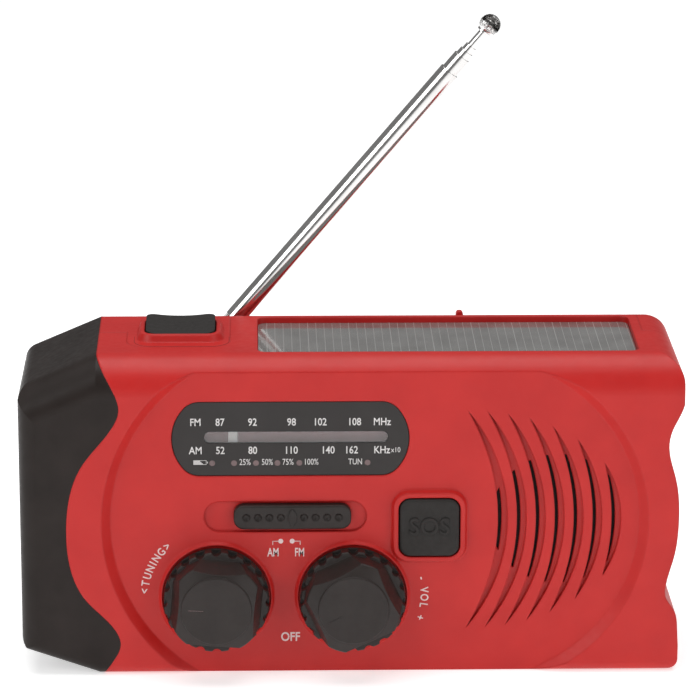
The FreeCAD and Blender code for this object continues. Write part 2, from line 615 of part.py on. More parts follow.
def make_rear_shell(skin, region, nose):
    shell = skin.cut(region)
    inner_back = BACK_Y - WALL
    dish = ycyl(CRANK_X, CRANK_Z, DISH_R + DISH_WALL, DISH_Y - DISH_WALL, inner_back + 0.1)
    pocket_y = BACK_Y - PORT_DEPTH
    pocket = box(PORT_X0 - WALL, PORT_X1 + WALL, pocket_y - WALL, inner_back + 0.1,
                 PORT_Z0 - WALL, PORT_Z1 + WALL)
    ledges = [box(x, x + 1.5, pocket_y - WALL - 6, pocket_y - WALL + 0.1, PORT_BOARD_Z - 1.6, PORT_BOARD_Z)
              for x in (PORT_X0 + 1, PORT_X1 - 2.5)]
    mid = (TORCH_X0 + TORCH_X1) / 2
    ribs = [box(mid + dx - 1, mid + dx + 1, 2.0, inner_back + 0.1, SWITCH_BOARD_Z - 1.8, SWITCH_BOARD_Z)
            for dx in (-5.5, 2.5)]
    posts = [ycyl(x, z, POST_R, 0, inner_back + 0.1) for x, z in SCREWS]
    posts += [ycyl(x, z, PLATE_POST_R, PLATE_Y + PLATE_T, root + 0.1) for x, z, root in plate_posts()]
    clip = box(CLIP_X - CLIP_W / 2, CLIP_X + CLIP_W / 2, CLIP_Y0, CLIP_Y1, SHELF_Z - 0.1, CLIP_TOP_Z)
    clip = clip.makeFillet(CLIP_END_R, [e for e in clip.Edges
                                        if e.BoundBox.ZMin > CLIP_TOP_Z - 0.01 and e.BoundBox.YLength > 1])
    shell = fuse(shell, dish, pocket, torch_collar(), clip, *ledges, *ribs, *posts)
    hinge_y, hinge_z = port_hinge()
    lip = COVER_LIP
    board_top = PORT_BOARD_Z + PORT_BOARD_T
    cuts = [
        ycyl(CRANK_X, CRANK_Z, DISH_R, DISH_Y, BACK_Y + 1),
        ycyl(CRANK_X, CRANK_Z, CRANK_SHAFT_R + FIT, DISH_Y - DISH_WALL - 1, DISH_Y + 1),
        box(PORT_X0, PORT_X1, pocket_y, BACK_Y + 1, PORT_Z0, PORT_Z1),
        xcyl(hinge_y, hinge_z, HINGE_PIN_R + FIT, PORT_X0 - 1.2, PORT_X1 + 1.2),
        socket_block(USB_A, board_top, SEAT), socket_block(USB_MICRO, board_top, SEAT),
        ycyl(JACK_X, JACK_Z, JACK_BARREL_R, inner_back - 1, BACK_Y + 1),
        box(COVER_X0, COVER_X1, BACK_Y - COVER_T, BACK_Y + 1, COVER_Z0, COVER_Z1),
        box(COVER_X0 + lip, COVER_X1 - lip, inner_back - 1, BACK_Y, COVER_Z0 + lip, COVER_Z1 - lip),
        torch_opening(),
        zcyl(AERIAL_X, AERIAL_Y, STUB_R + FIT, SHELF_Z - 4, SHELF_Z + 1)]
    cuts += [ycyl(x, z, SCREW_R + 0.3, -1, BACK_Y) for x, z in SCREWS]
    cuts += [ycyl(x, z, SCREW_HEAD_R + 0.3, SCREW_SEAT_Y, BACK_Y + 1) for x, z in SCREWS]
    return cut(shell, nose, *cuts)


def torch_opening():
    return tile(TORCH_X0 - GAP, TORCH_X1 + GAP, TORCH_Y0 - GAP, TORCH_Y1 + GAP, TORCH_CORNER_R + GAP,
                TOP_Z - TOP_WALL - 1, COLLAR_TOP_Z + 1)


# ---------------------------------------------------------------- nose and torch
def make_nose(full, hollow, region):
    shell = full.cut(hollow).common(region)
    plate = box(BULKHEAD_X, BULKHEAD_X + BULKHEAD_T, FRONT_Y, BACK_Y, 0, TOP_Z).common(hollow)
    back_of_board = LEFT_X + LENS_T + REFLECTOR_D + LAMP_BOARD_T
    tube = xcyl(0, LENS_Z, LAMP_BOARD_R, back_of_board, BULKHEAD_X + 0.1)
    bore = xcyl(0, LENS_Z, LAMP_BOARD_R - 1.5, back_of_board - 1, BULKHEAD_X)
    shell = fuse(shell, plate, tube)
    return cut(shell, bore, xcyl(0, LENS_Z, LENS_R + SEAT, LEFT_X - 1, LEFT_X + LENS_T),
               xcyl(0, LENS_Z, REFLECTOR_R, LEFT_X, LEFT_X + WALL + 1))


def make_reflector():
    """Open cup behind the lens, with a rim that rests on the lens."""
    x0, x1 = LEFT_X + LENS_T, LEFT_X + LENS_T + REFLECTOR_D
    steps = 6
    wall = 0.8
    bowl = []
    for i in range(steps + 1):
        r = REFLECTOR_R - wall - (REFLECTOR_R - wall - REFLECTOR_NECK_R) * i / steps
        depth = 1 - ((r - REFLECTOR_NECK_R) / (REFLECTOR_R - wall - REFLECTOR_NECK_R)) ** 2
        bowl.append((r, x0 + (x1 - x0) * depth))
    back = [(r + wall, min(x + 0.3, x1)) for r, x in reversed(bowl)]
    points = [V(x, 0, LENS_Z + r) for r, x in bowl + back]
    return polygon(points).revolve(V(0, 0, LENS_Z), V(1, 0, 0), 360)


def make_lamp_board():
    x1 = LEFT_X + LENS_T + REFLECTOR_D
    board = xcyl(0, LENS_Z, LAMP_BOARD_R, x1, x1 + LAMP_BOARD_T)
    lamp = xcyl(0, LENS_Z, REFLECTOR_NECK_R - 1.5, x1 - 3, x1 + 0.1)
    dome = Part.makeSphere(REFLECTOR_NECK_R - 1.5, V(x1 - 3, 0, LENS_Z))
    return fuse(board, lamp, dome)


# ---------------------------------------------------------------- dial and tuning
def make_dial_plate():
    y = PANEL_Y + DIAL_SINK
    plate = dial_slab(0, y, y + DIAL_T)
    lamps = [ycyl(x, LAMP_Z, LAMP_R, y - 1, y + DIAL_T + 1) for x in LAMP_XS]
    return cut(plate, slot_slab(y - 1, y + DIAL_T + 1), *lamps)


def slot_slab(y0, y1):
    return slab(SLOT_X0, SLOT_X1, SLOT_Z0, SLOT_Z1, (SLOT_Z1 - SLOT_Z0) / 2 - 0.01, y0, y1)


def make_dial_window():
    y = PANEL_Y + DIAL_SINK
    return slot_slab(y + 0.1, y + 0.1 + WINDOW_T)


def make_dial_backing():
    """Pale strip behind the pointer, on a foot at each end."""
    x0, x1 = TUNING_X - DRUM_R + 2 * GUIDE_R + 0.1, rail_ends()[1] + 1.0
    z0, z1 = SLOT_Z0 - 1, SLOT_Z1 + 1
    y0 = INNER_FRONT_Y + 0.9
    strip = box(x0, x1, y0, y0 + 0.5, z0, z1)
    return fuse(strip, box(x0, x0 + 1.0, INNER_FRONT_Y, y0 + 0.1, z0, z1),
                box(x1 - 1.0, x1, INNER_FRONT_Y, y0 + 0.1, z0, z1))


def make_lamps():
    y = PANEL_Y + DIAL_SINK
    return Part.makeCompound([ycyl(x, LAMP_Z, LAMP_R, y, y + DIAL_T) for x in LAMP_XS])


def make_pointer():
    flag_y = INNER_FRONT_Y + 0.1
    flag = box(POINTER_X - POINTER_W / 2, POINTER_X + POINTER_W / 2, flag_y - 0.6, flag_y,
               SLOT_Z0 - 0.6, RAIL_Z)
    block = box(POINTER_X - CARRIAGE_L / 2, POINTER_X + CARRIAGE_L / 2, flag_y, CORD_Y + 0.9,
                CORD_TOP_Z - 1.2, RAIL_Z + 1.8)
    neck = box(POINTER_X - POINTER_W / 2, POINTER_X + POINTER_W / 2, flag_y - 0.6, flag_y + 0.1,
               RAIL_Z - 1.8, RAIL_Z + 0.4)
    body = fuse(flag, block, neck)
    rail_bore = xcyl(RAIL_Y, RAIL_Z, RAIL_R + FIT, LEFT_X, RIGHT_X)
    cord_bore = xcyl(CORD_Y, CORD_TOP_Z, CORD_R + FIT, LEFT_X, RIGHT_X)
    return cut(body, rail_bore, cord_bore)


def make_rail():
    left, right = rail_ends()
    return xcyl(RAIL_Y, RAIL_Z, RAIL_R, left - 1.2, right + 1.2)


def make_cord():
    """Closed loop round the drum and the three guides."""
    y = CORD_Y
    left, right = TUNING_X - DRUM_R, TUNING_X + DRUM_R
    g, k = GUIDE_R, 1 - math.sqrt(0.5)
    turn_r = (CORD_TOP_Z - CORD_LOW_Z) / 2
    turn_x = CORD_TURN_X + turn_r
    mid = CORD_LOW_Z + turn_r
    edges = [
        Part.makeLine(V(left, y, KNOB_Z), V(left, y, CORD_TOP_Z - g)),
        Part.Arc(V(left, y, CORD_TOP_Z - g), V(left + g * k, y, CORD_TOP_Z - g * k),
                 V(left + g, y, CORD_TOP_Z)).toShape(),
        Part.makeLine(V(left + g, y, CORD_TOP_Z), V(turn_x, y, CORD_TOP_Z)),
        Part.Arc(V(turn_x, y, CORD_TOP_Z), V(turn_x + turn_r, y, mid), V(turn_x, y, CORD_LOW_Z)).toShape(),
        Part.makeLine(V(turn_x, y, CORD_LOW_Z), V(right + g, y, CORD_LOW_Z)),
        Part.Arc(V(right + g, y, CORD_LOW_Z), V(right + g * k, y, CORD_LOW_Z - g * k),
                 V(right, y, CORD_LOW_Z - g)).toShape(),
        Part.makeLine(V(right, y, CORD_LOW_Z - g), V(right, y, KNOB_Z)),
        Part.Arc(V(right, y, KNOB_Z), V(TUNING_X, y, KNOB_Z - DRUM_R), V(left, y, KNOB_Z)).toShape()]
    ring = Part.Wire([Part.makeCircle(CORD_R, V(left, y, KNOB_Z), V(0, 0, 1))])
    return Part.Wire(edges).makePipeShell([ring], True, True)


def make_tuning_drum():
    root = DRUM_R - CORD_R - FIT
    y0, y1 = CORD_Y - DRUM_T / 2, CORD_Y + DRUM_T / 2
    groove = CORD_R + 0.35
    drum = revolve_y([(SHAFT_R - 0.5, y0), (DRUM_FLANGE_R, y0), (DRUM_FLANGE_R, CORD_Y - groove),
                      (root, CORD_Y - groove), (root, CORD_Y + groove), (DRUM_FLANGE_R, CORD_Y + groove),
                      (DRUM_FLANGE_R, y1), (SHAFT_R - 0.5, y1)], TUNING_X, KNOB_Z)
    return fuse(drum, make_shaft(TUNING_X))


def make_shaft(x):
    return ycyl(x, KNOB_Z, SHAFT_R, KNOB_FACE_Y + KNOB_FACE_T, SHAFT_END_Y)


def make_knob(x, scoop_angle):
    y = KNOB_FACE_Y
    skirt = [(0, KNOB_BACK_Y), (KNOB_R, KNOB_BACK_Y), (KNOB_R, KNOB_SKIRT_Y + 0.4),
             (KNOB_R - 0.4, KNOB_SKIRT_Y), (KNOB_HUB_R + 0.3, KNOB_SKIRT_Y)]
    hub = [(KNOB_HUB_R, y + 2.0), (KNOB_HUB_R - 0.3, y + 1.6), (KNOB_FACE_R + 0.35, y + 0.5)]
    disc = [(KNOB_FACE_R + 0.1, y + 0.45), (KNOB_FACE_R, y + 0.1), (KNOB_FACE_R - 0.2, y), (0, y)]
    body = revolve_y(skirt + hub + disc, x, KNOB_Z)
    cuts = [ycyl(x, KNOB_Z, SHAFT_R, y + KNOB_FACE_T, KNOB_BACK_Y + 1)]
    for i in range(KNOB_NOTCHES):
        a = 2 * math.pi * i / KNOB_NOTCHES
        reach = KNOB_R + KNOB_NOTCH_R / 4
        cuts.append(ycyl(x + reach * math.cos(a), KNOB_Z + reach * math.sin(a), KNOB_NOTCH_R,
                         KNOB_SKIRT_Y - 0.5, KNOB_BACK_Y - 0.8))
    rise = math.degrees(math.atan((KNOB_SCOOP_R1 - KNOB_SCOOP_R0) / (KNOB_SKIRT_Y - y)))
    block = box(0, KNOB_R, 0, 2 * KNOB_R, -KNOB_R, KNOB_R)
    block = turn(block, V(0, 0, 0), V(0, 0, 1), -rise)
    block.translate(V(KNOB_SCOOP_R0, y, 0))
    block = block.common(box(0, 3 * KNOB_R, y - KNOB_R, KNOB_SKIRT_Y, -KNOB_R, KNOB_R))
    for i in range(KNOB_SCOOPS):
        scoop = turn(block, V(0, 0, 0), V(0, 1, 0), -scoop_angle - 360 * i / KNOB_SCOOPS)
        scoop.translate(V(x, 0, KNOB_Z))
        cuts.append(scoop)
    return cut(body, *cuts)


def make_tuning_capacitor():
    half = CAPACITOR_W / 2
    front = CORD_Y + DRUM_T / 2 + 1.5
    body = box(TUNING_X - half, TUNING_X + half, front, BOARD_Y, KNOB_Z - half, KNOB_Z + half)
    return body.cut(ycyl(TUNING_X, KNOB_Z, SHAFT_R + FIT, CORD_Y, SHAFT_END_Y + 0.5))


def make_volume_pot():
    body = ycyl(VOLUME_X, KNOB_Z, 8.5, CORD_Y + 2.0, BOARD_Y)
    return body.cut(ycyl(VOLUME_X, KNOB_Z, SHAFT_R + FIT, CORD_Y, SHAFT_END_Y + 0.5))


# ---------------------------------------------------------------- slider and buttons
def make_band_slider():
    cap = slab(SLIDER_X0, SLIDER_X1, SLIDER_Z0, SLIDER_Z1, SLIDER_CORNER_R,
               SLIDER_FACE_Y, SLIDER_POCKET_Y - 0.2)
    mid_x, mid_z = (SLIDER_X0 + SLIDER_X1) / 2, (SLIDER_Z0 + SLIDER_Z1) / 2
    stem = box(mid_x - SLIDER_STEM_W / 2, mid_x + SLIDER_STEM_W / 2, SLIDER_POCKET_Y - 0.4, CORD_Y - 0.6,
               mid_z - SLIDER_STEM_H / 2, mid_z + SLIDER_STEM_H / 2)
    arcs = [ycyl(mid_x + side * (RIB_R - RIB_W / 2), mid_z, RIB_R, SLIDER_FACE_Y - RIB_H, SLIDER_FACE_Y + 0.1)
            for side in (-1, 1)]
    rib = arcs[0].common(arcs[1])
    dimples = [Part.makeSphere(DIMPLE_R, V(mid_x + i * DIMPLE_PITCH, SLIDER_FACE_Y - 0.5, mid_z))
               for i in range(-4, 5) if i != 0]
    top_edges = [e for e in cap.Edges if e.BoundBox.YMax < SLIDER_FACE_Y + 0.01]
    return cut(fuse(cap.makeFillet(0.6, top_edges), stem, rib), *dimples)


def make_band_switch():
    mid_x, mid_z = (SLIDER_X0 + SLIDER_X1) / 2, (SLIDER_Z0 + SLIDER_Z1) / 2
    return box(mid_x - 9.4, mid_x + 9.4, CORD_Y - 0.4, BOARD_Y, mid_z - 3.5, mid_z + 3.5)


def switch_front_y():
    return BOARD_Y - SWITCH_H


def make_sos_button():
    cap = slab(SOS_X0, SOS_X1, SOS_Z0, SOS_Z1, SOS_CORNER_R, SOS_FACE_Y, INNER_FRONT_Y + 0.2)
    cap = cap.makeFillet(0.7, [e for e in cap.Edges if e.BoundBox.YMax < SOS_FACE_Y + 0.01])
    flange = slab(SOS_X0 - FLANGE, SOS_X1 + FLANGE, SOS_Z0 - FLANGE, SOS_Z1 + FLANGE, SOS_CORNER_R,
                  INNER_FRONT_Y + 0.1, INNER_FRONT_Y + 0.1 + FLANGE_T)
    mid_x, mid_z = (SOS_X0 + SOS_X1) / 2, (SOS_Z0 + SOS_Z1) / 2
    stem = ycyl(mid_x, mid_z, 1.8, INNER_FRONT_Y + 1, switch_front_y() - SOS_TRAVEL - 0.1)
    return fuse(cap, flange, stem)


def make_torch_button():
    cap = tile(TORCH_X0, TORCH_X1, TORCH_Y0, TORCH_Y1, TORCH_CORNER_R, TOP_Z - TOP_WALL - 0.2, TORCH_TOP_Z)
    half = (TORCH_X1 - TORCH_X0) / 2
    mid_x, mid_y = (TORCH_X0 + TORCH_X1) / 2, (TORCH_Y0 + TORCH_Y1) / 2
    saddle_r = (half ** 2 + TORCH_DIP ** 2) / (2 * TORCH_DIP)
    saddle = ycyl(mid_x, TORCH_TOP_Z - TORCH_DIP + saddle_r, saddle_r, 2 * TORCH_Y0, 2 * TORCH_Y1)
    above = box(TORCH_X0 - 1, TORCH_X1 + 1, 2 * TORCH_Y0, 2 * TORCH_Y1, TORCH_TOP_Z, TORCH_TOP_Z + 5)
    slope = math.degrees(math.atan(TORCH_FALL / (TORCH_Y1 - TORCH_Y0)))
    saddle = turn(fuse(saddle, above), V(mid_x, TORCH_Y1, TORCH_TOP_Z), V(1, 0, 0), slope)
    flange_z = TOP_Z - TOP_WALL - 0.1
    flange = tile(TORCH_X0 - FLANGE, TORCH_X1 + FLANGE, TORCH_Y0 - FLANGE, TORCH_Y1 + FLANGE, TORCH_CORNER_R,
                  flange_z - FLANGE_T, flange_z)
    switch_top = SWITCH_BOARD_Z + SWITCH_BOARD_T + SWITCH_H
    stem = zcyl(mid_x, mid_y, 1.8, switch_top + TORCH_TRAVEL + 0.1, flange_z)
    return fuse(cap.cut(saddle), flange, stem)


def make_tact_switches():
    """Two equal press switches: one behind each button."""
    half = SWITCH_W / 2
    sos_x, sos_z = (SOS_X0 + SOS_X1) / 2, (SOS_Z0 + SOS_Z1) / 2
    mid_x, mid_y = (TORCH_X0 + TORCH_X1) / 2, (TORCH_Y0 + TORCH_Y1) / 2
    base_z = SWITCH_BOARD_Z + SWITCH_BOARD_T
    body = SWITCH_H - 0.8
    sos = fuse(box(sos_x - half, sos_x + half, BOARD_Y - body, BOARD_Y, sos_z - half, sos_z + half),
               ycyl(sos_x, sos_z, 1.7, switch_front_y(), BOARD_Y))
    torch = fuse(box(mid_x - half, mid_x + half, mid_y - half, mid_y + half, base_z, base_z + body),
                 zcyl(mid_x, mid_y, 1.7, base_z, base_z + SWITCH_H))
    return Part.makeCompound([sos, torch])


def make_switch_board():
    return box(TORCH_X0 - 1, TORCH_X1 + 1, TORCH_Y0 - 1, TORCH_Y1 + 1, SWITCH_BOARD_Z,
               SWITCH_BOARD_Z + SWITCH_BOARD_T)


# ---------------------------------------------------------------- top, boards, speaker
def make_solar_panel():
    top = TOP_Z - SOLAR_SINK
    return tile(SOLAR_X0, SOLAR_X1, SOLAR_Y0, SOLAR_Y1, SOLAR_R, top - SOLAR_T, top)


def make_main_board():
    return box(BOARD_X0, BOARD_X1, BOARD_Y, BOARD_Y + BOARD_T, BOARD_Z0, BOARD_Z1)


def make_ferrite_rod():
    return xcyl(ROD_Y, ROD_Z, ROD_R, ROD_X0, ROD_X1)


def make_coil():
    winding = xcyl(ROD_Y, ROD_Z, COIL_R, COIL_X0, COIL_X1)
    return cut(winding, xcyl(ROD_Y, ROD_Z, ROD_R, COIL_X0 - 1, COIL_X1 + 1))


def speaker_layers():
    front = INNER_FRONT_Y + CLOTH_T
    return front, front + SPEAKER_FLANGE_T, front + SPEAKER_DEPTH


def make_speaker_cloth():
    return ycyl(SPEAKER_X, SPEAKER_Z, SPEAKER_R - 0.5, INNER_FRONT_Y, INNER_FRONT_Y + CLOTH_T)


def make_speaker_frame():
    front, flange, back = speaker_layers()
    r, hub, wall = SPEAKER_R, MAGNET_R - 2, 1.0
    return revolve_y([(r - 2.4, front), (r, front), (r, flange), (r - 1.6, flange), (hub + 1, back),
                      (0, back), (0, back - wall), (hub, back - wall), (r - 2.8, flange)],
                     SPEAKER_X, SPEAKER_Z)


def make_speaker_cone():
    _, flange, back = speaker_layers()
    r, cap = SPEAKER_R - 2.8, 5.0
    return revolve_y([(r, flange - 0.5), (r - 1.2, flange - 0.9), (r - 2, flange - 0.3), (cap, back - 3.6),
                      (cap - 1.6, back - 4.4), (0, back - 4.8), (0, back - 4.2), (cap - 1.8, back - 3.8),
                      (cap - 0.4, back - 2.8), (cap + 0.3, back - 2.8), (r - 1.9, flange + 0.4),
                      (r - 1.1, flange - 0.3), (r, flange)], SPEAKER_X, SPEAKER_Z)


def make_speaker_magnet():
    back = speaker_layers()[2]
    return ycyl(SPEAKER_X, SPEAKER_Z, MAGNET_R, back, back + MAGNET_T)


# ---------------------------------------------------------------- crank, gears, generator
def involute(angle):
    return math.tan(angle) - angle


def gear_profile(teeth, y, x, z, first_angle):
    """Spur gear outline: involute flanks, short teeth, thinned by the backlash."""
    pressure = math.radians(25)
    pitch = MODULE * teeth / 2
    base, tip, root = pitch * math.cos(pressure), pitch + 0.72 * MODULE, pitch - 0.95 * MODULE
    half_pitch = math.pi / (2 * teeth) - BACKLASH / (2 * pitch)
    samples = 4
    start = max(base, root + 0.05)
    flank = []
    for i in range(samples + 1):
        r = start + (tip - start) * i / samples
        flank.append((r, half_pitch + involute(pressure) - involute(math.acos(base / r))))
    points = []
    for tooth in range(teeth):
        middle = math.radians(first_angle) + 2 * math.pi * tooth / teeth
        side = [(root, flank[0][1] + ROOT_EASE / root)] + flank
        rising = [(r, middle - a) for r, a in side]
        falling = [(r, middle + a) for r, a in reversed(side)]
        points += [V(x + r * math.cos(a), y, z + r * math.sin(a)) for r, a in rising + falling]
    return polygon(points)


def gear(teeth, x, z, y, thickness, bore, first_angle):
    blank = gear_profile(teeth, y, x, z, first_angle).extrude(V(0, thickness, 0))
    return blank.cut(ycyl(x, z, bore, y - 1, y + thickness + 1))


def idler_centre():
    reach = MODULE * (CRANK_TEETH + PINION_TEETH) / 2
    a = math.radians(IDLER_ANGLE)
    return CRANK_X + reach * math.cos(a), CRANK_Z + reach * math.sin(a)


def generator_centre():
    x, z = idler_centre()
    return x - MODULE * (WHEEL_TEETH + PINION_TEETH) / 2, z


def make_crank_gear():
    return gear(CRANK_TEETH, CRANK_X, CRANK_Z, GEAR_Y, GEAR_T, CRANK_SHAFT_R, IDLER_ANGLE)


def make_idler():
    x, z = idler_centre()
    space = 180.0 / PINION_TEETH
    pinion = gear(PINION_TEETH, x, z, WHEEL_Y + WHEEL_T, GEAR_Y + GEAR_T + 0.6 - WHEEL_Y - WHEEL_T,
                  AXLE_R + FIT, IDLER_ANGLE + 180 + space)
    wheel = gear(WHEEL_TEETH, x, z, WHEEL_Y, WHEEL_T, AXLE_R + FIT, 180)
    return fuse(pinion, wheel)


def make_idler_axle():
    x, z = idler_centre()
    return ycyl(x, z, AXLE_R, PLATE_Y, DISH_Y - DISH_WALL)


def make_generator_pinion():
    """Pinion moulded on the generator's shaft."""
    x, z = generator_centre()
    shaft = ycyl(x, z, AXLE_R, PLATE_Y - 2.0, WHEEL_Y + WHEEL_T + 0.4)
    return fuse(gear(PINION_TEETH, x, z, WHEEL_Y - 0.2, WHEEL_T + 0.4, AXLE_R, 180.0 / PINION_TEETH), shaft)


def make_generator():
    x, z = generator_centre()
    body = ycyl(x, z, GENERATOR_R, PLATE_Y - GENERATOR_D, PLATE_Y)
    return body.cut(ycyl(x, z, AXLE_R + FIT, PLATE_Y - 2.2, PLATE_Y + 1))


def make_gear_plate():
    plate = slab(PLATE_X0, PLATE_X1, PLATE_Z0, PLATE_Z1, 3.0, PLATE_Y, PLATE_Y + PLATE_T)
    ix, iz = idler_centre()
    gx, gz = generator_centre()
    return cut(plate, ycyl(ix, iz, AXLE_R, PLATE_Y - 1, PLATE_Y + PLATE_T + 1),
               ycyl(gx, gz, AXLE_R + 0.5, PLATE_Y - 1, PLATE_Y + PLATE_T + 1),
               ycyl(CRANK_X, CRANK_Z, CRANK_SHAFT_R + FIT, PLATE_Y - 1, PLATE_Y + PLATE_T + 1))


def make_crank_shaft():
    return ycyl(CRANK_X, CRANK_Z, CRANK_SHAFT_R, PLATE_Y + 0.2, ARM_Y + ARM_T - 1.5)


def grip_y():
    return ARM_Y + ARM_T / 2 + 1.6


def make_crank_arm():
    """Arm with a boss at the shaft and a fork that holds the folded grip."""
    arm = slab(CRANK_X - ARM_L, CRANK_X + ARM_W / 2, CRANK_Z - ARM_W / 2, CRANK_Z + ARM_W / 2,
               ARM_W / 2 - 0.5, ARM_Y, ARM_Y + ARM_T)
    cheeks = slab(CRANK_X - ARM_L, CRANK_X - GRIP_PIVOT + 5, CRANK_Z - ARM_W / 2, CRANK_Z + ARM_W / 2,
                  1.5, ARM_Y, grip_y() + 2.8)
    slot_half = GRIP_R + 0.4
    pivot_x = CRANK_X - GRIP_PIVOT
    slot = box(pivot_x - KNUCKLE_R - 0.6, pivot_x + KNUCKLE_R + GRIP_L + 1.8, ARM_Y - 1,
               BACK_Y + 5, CRANK_Z - slot_half, CRANK_Z + slot_half)
    bridge = fuse(arm, cheeks)
    return cut(bridge, slot, ycyl(CRANK_X, CRANK_Z, CRANK_SHAFT_R, ARM_Y - 1, ARM_Y + ARM_T - 1.5),
               zcyl(CRANK_X - GRIP_PIVOT, grip_y(), GRIP_PIN_R, CRANK_Z - ARM_W, CRANK_Z + ARM_W))


def make_grip_pin():
    half = ARM_W / 2 - 0.4
    return zcyl(CRANK_X - GRIP_PIVOT, grip_y(), GRIP_PIN_R, CRANK_Z - half, CRANK_Z + half)


def make_grip_spindle():
    """Knuckle on the fork pin, with the rod that the sleeve turns on."""
    x, y = CRANK_X - GRIP_PIVOT, grip_y()
    knuckle = zcyl(x, y, KNUCKLE_R, CRANK_Z - KNUCKLE_W / 2, CRANK_Z + KNUCKLE_W / 2)
    rod_end = x + KNUCKLE_R + GRIP_L + 1.0
    rod = xcyl(y, CRANK_Z, SPINDLE_R, x, rod_end)
    head = xcyl(y, CRANK_Z, SPINDLE_R + 1.2, rod_end - 0.8, rod_end)
    return fuse(knuckle, rod, head).cut(zcyl(x, y, GRIP_PIN_R + FIT, CRANK_Z - 5, CRANK_Z + 5))


def make_grip_sleeve():
    x0 = CRANK_X - GRIP_PIVOT + KNUCKLE_R + 0.1
    x1 = x0 + GRIP_L
    y = grip_y()
    sleeve = xcyl(y, CRANK_Z, GRIP_R, x0, x1)
    sleeve = sleeve.makeFillet(0.9, [e for e in sleeve.Edges if e.Curve.TypeId == "Part::GeomCircle"])
    sleeve = sleeve.cut(xcyl(y, CRANK_Z, SPINDLE_R + FIT, x0 - 1, x1 + 1))
    return sleeve.cut(xcyl(y, CRANK_Z, SPINDLE_R + 1.6, x1 - 0.4, x1 + 1))


# ---------------------------------------------------------------- cell, sockets
def make_cell():
    body = xcyl(CELL_Y, CELL_Z, CELL_R, CELL_X0, CELL_X0 + CELL_L - 1.2)
    return fuse(body, xcyl(CELL_Y, CELL_Z, 3.0, CELL_X0 + CELL_L - 1.3, CELL_X0 + CELL_L))


def make_contacts():
    """Spring plate at each end of the cell."""
    half = CONTACT_W / 2
    plates = [box(x, x + CONTACT_T, CELL_Y - half, CELL_Y + half, CELL_Z - half, CELL_Z + half)
              for x in (CELL_X0 - CONTACT_T, CELL_X0 + CELL_L)]
    return Part.makeCompound(plates)


def make_cell_tray():
    x0, x1 = CELL_X0 - CONTACT_T, CELL_X0 + CELL_L + CONTACT_T
    y0, y1 = CELL_Y - CELL_R - 1.0, CELL_Y + CELL_R
    tray = box(x0 - TRAY_END, x1 + TRAY_END, y0, y1, TOP_WALL, CELL_Z + 5)
    return cut(tray, box(x0, x1, y0 - 1, y1 + 1, CELL_Z, CELL_Z + 6), xcyl(CELL_Y, CELL_Z, CELL_R, x0, x1))


def make_cell_cover():
    g = GAP
    plate = box(COVER_X0 + g, COVER_X1 - g, BACK_Y - COVER_T, BACK_Y, COVER_Z0 + g, COVER_Z1 - g)
    inner = COVER_LIP + g
    rim = box(COVER_X0 + inner, COVER_X1 - inner, BACK_Y - COVER_T - 2, BACK_Y - COVER_T + 0.1,
              COVER_Z0 + inner, COVER_Z1 - inner)
    hollow = box(COVER_X0 + inner + 1, COVER_X1 - inner - 1, BACK_Y - COVER_T - 3, BACK_Y - COVER_T,
                 COVER_Z0 + inner + 1, COVER_Z1 - inner - 1)
    nail = box(COVER_X1 - 14, COVER_X1 - 6, BACK_Y - 0.6, BACK_Y + 1, COVER_Z1 - 5, COVER_Z1 - 3)
    return cut(fuse(plate, rim), hollow, nail)


def socket_block(size, base_z, margin):
    x, width, height, depth = size
    front = BACK_Y - PORT_DEPTH
    return box(x - width / 2 - margin, x + width / 2 + margin, front - depth, front + margin, base_z - margin,
               base_z + height + margin)


def make_sockets():
    base = PORT_BOARD_Z + PORT_BOARD_T
    front = BACK_Y - PORT_DEPTH
    blocks = []
    for size in (USB_A, USB_MICRO):
        x, width, height, depth = size
        mouth = box(x - width / 2 + 0.5, x + width / 2 - 0.5, front - depth + 1, front + 1, base + 0.5,
                    base + height - 0.5)
        tongue = box(x - width / 2 + 1, x + width / 2 - 1, front - depth, front - 0.8, base + height * 0.55,
                     base + height * 0.75)
        blocks.append(fuse(socket_block(size, base, 0).cut(mouth), tongue))
    return Part.makeCompound(blocks)


def make_port_board():
    front = BACK_Y - PORT_DEPTH - WALL
    return box(PORT_X0 + 1, PORT_X1 - 1, front - 10.8, front - 0.1, PORT_BOARD_Z, PORT_BOARD_Z + PORT_BOARD_T)


def make_port_cover():
    """Flap with a moulded barrel and a stub axle at each end."""
    y, z = port_hinge()
    g = GAP
    flap = box(PORT_X0 + g, PORT_X1 - g, BACK_Y - PORT_COVER_T - 0.2, BACK_Y - 0.2, z, PORT_Z1 - g)
    barrel = xcyl(y, z, HINGE_R, PORT_X0 + g, PORT_X1 - g)
    axle = xcyl(y, z, HINGE_PIN_R, PORT_X0 - 0.8, PORT_X1 + 0.8)
    nail = xcyl(BACK_Y + 0.5, PORT_Z1 - 2.6, 1.4, PORT_X0 + 9, PORT_X1 - 9)
    return fuse(flap, barrel, axle).cut(nail)


def make_jack():
    barrel = ycyl(JACK_X, JACK_Z, JACK_BARREL_R, BACK_Y - WALL - 0.1, BACK_Y)
    body = box(JACK_X - 4, JACK_X + 4, BACK_Y - JACK_L - 2, BACK_Y - WALL, JACK_Z - 3.8, JACK_Z + 3.8)
    return fuse(barrel, body).cut(ycyl(JACK_X, JACK_Z, JACK_BORE_R, BACK_Y - JACK_L, BACK_Y + 1))


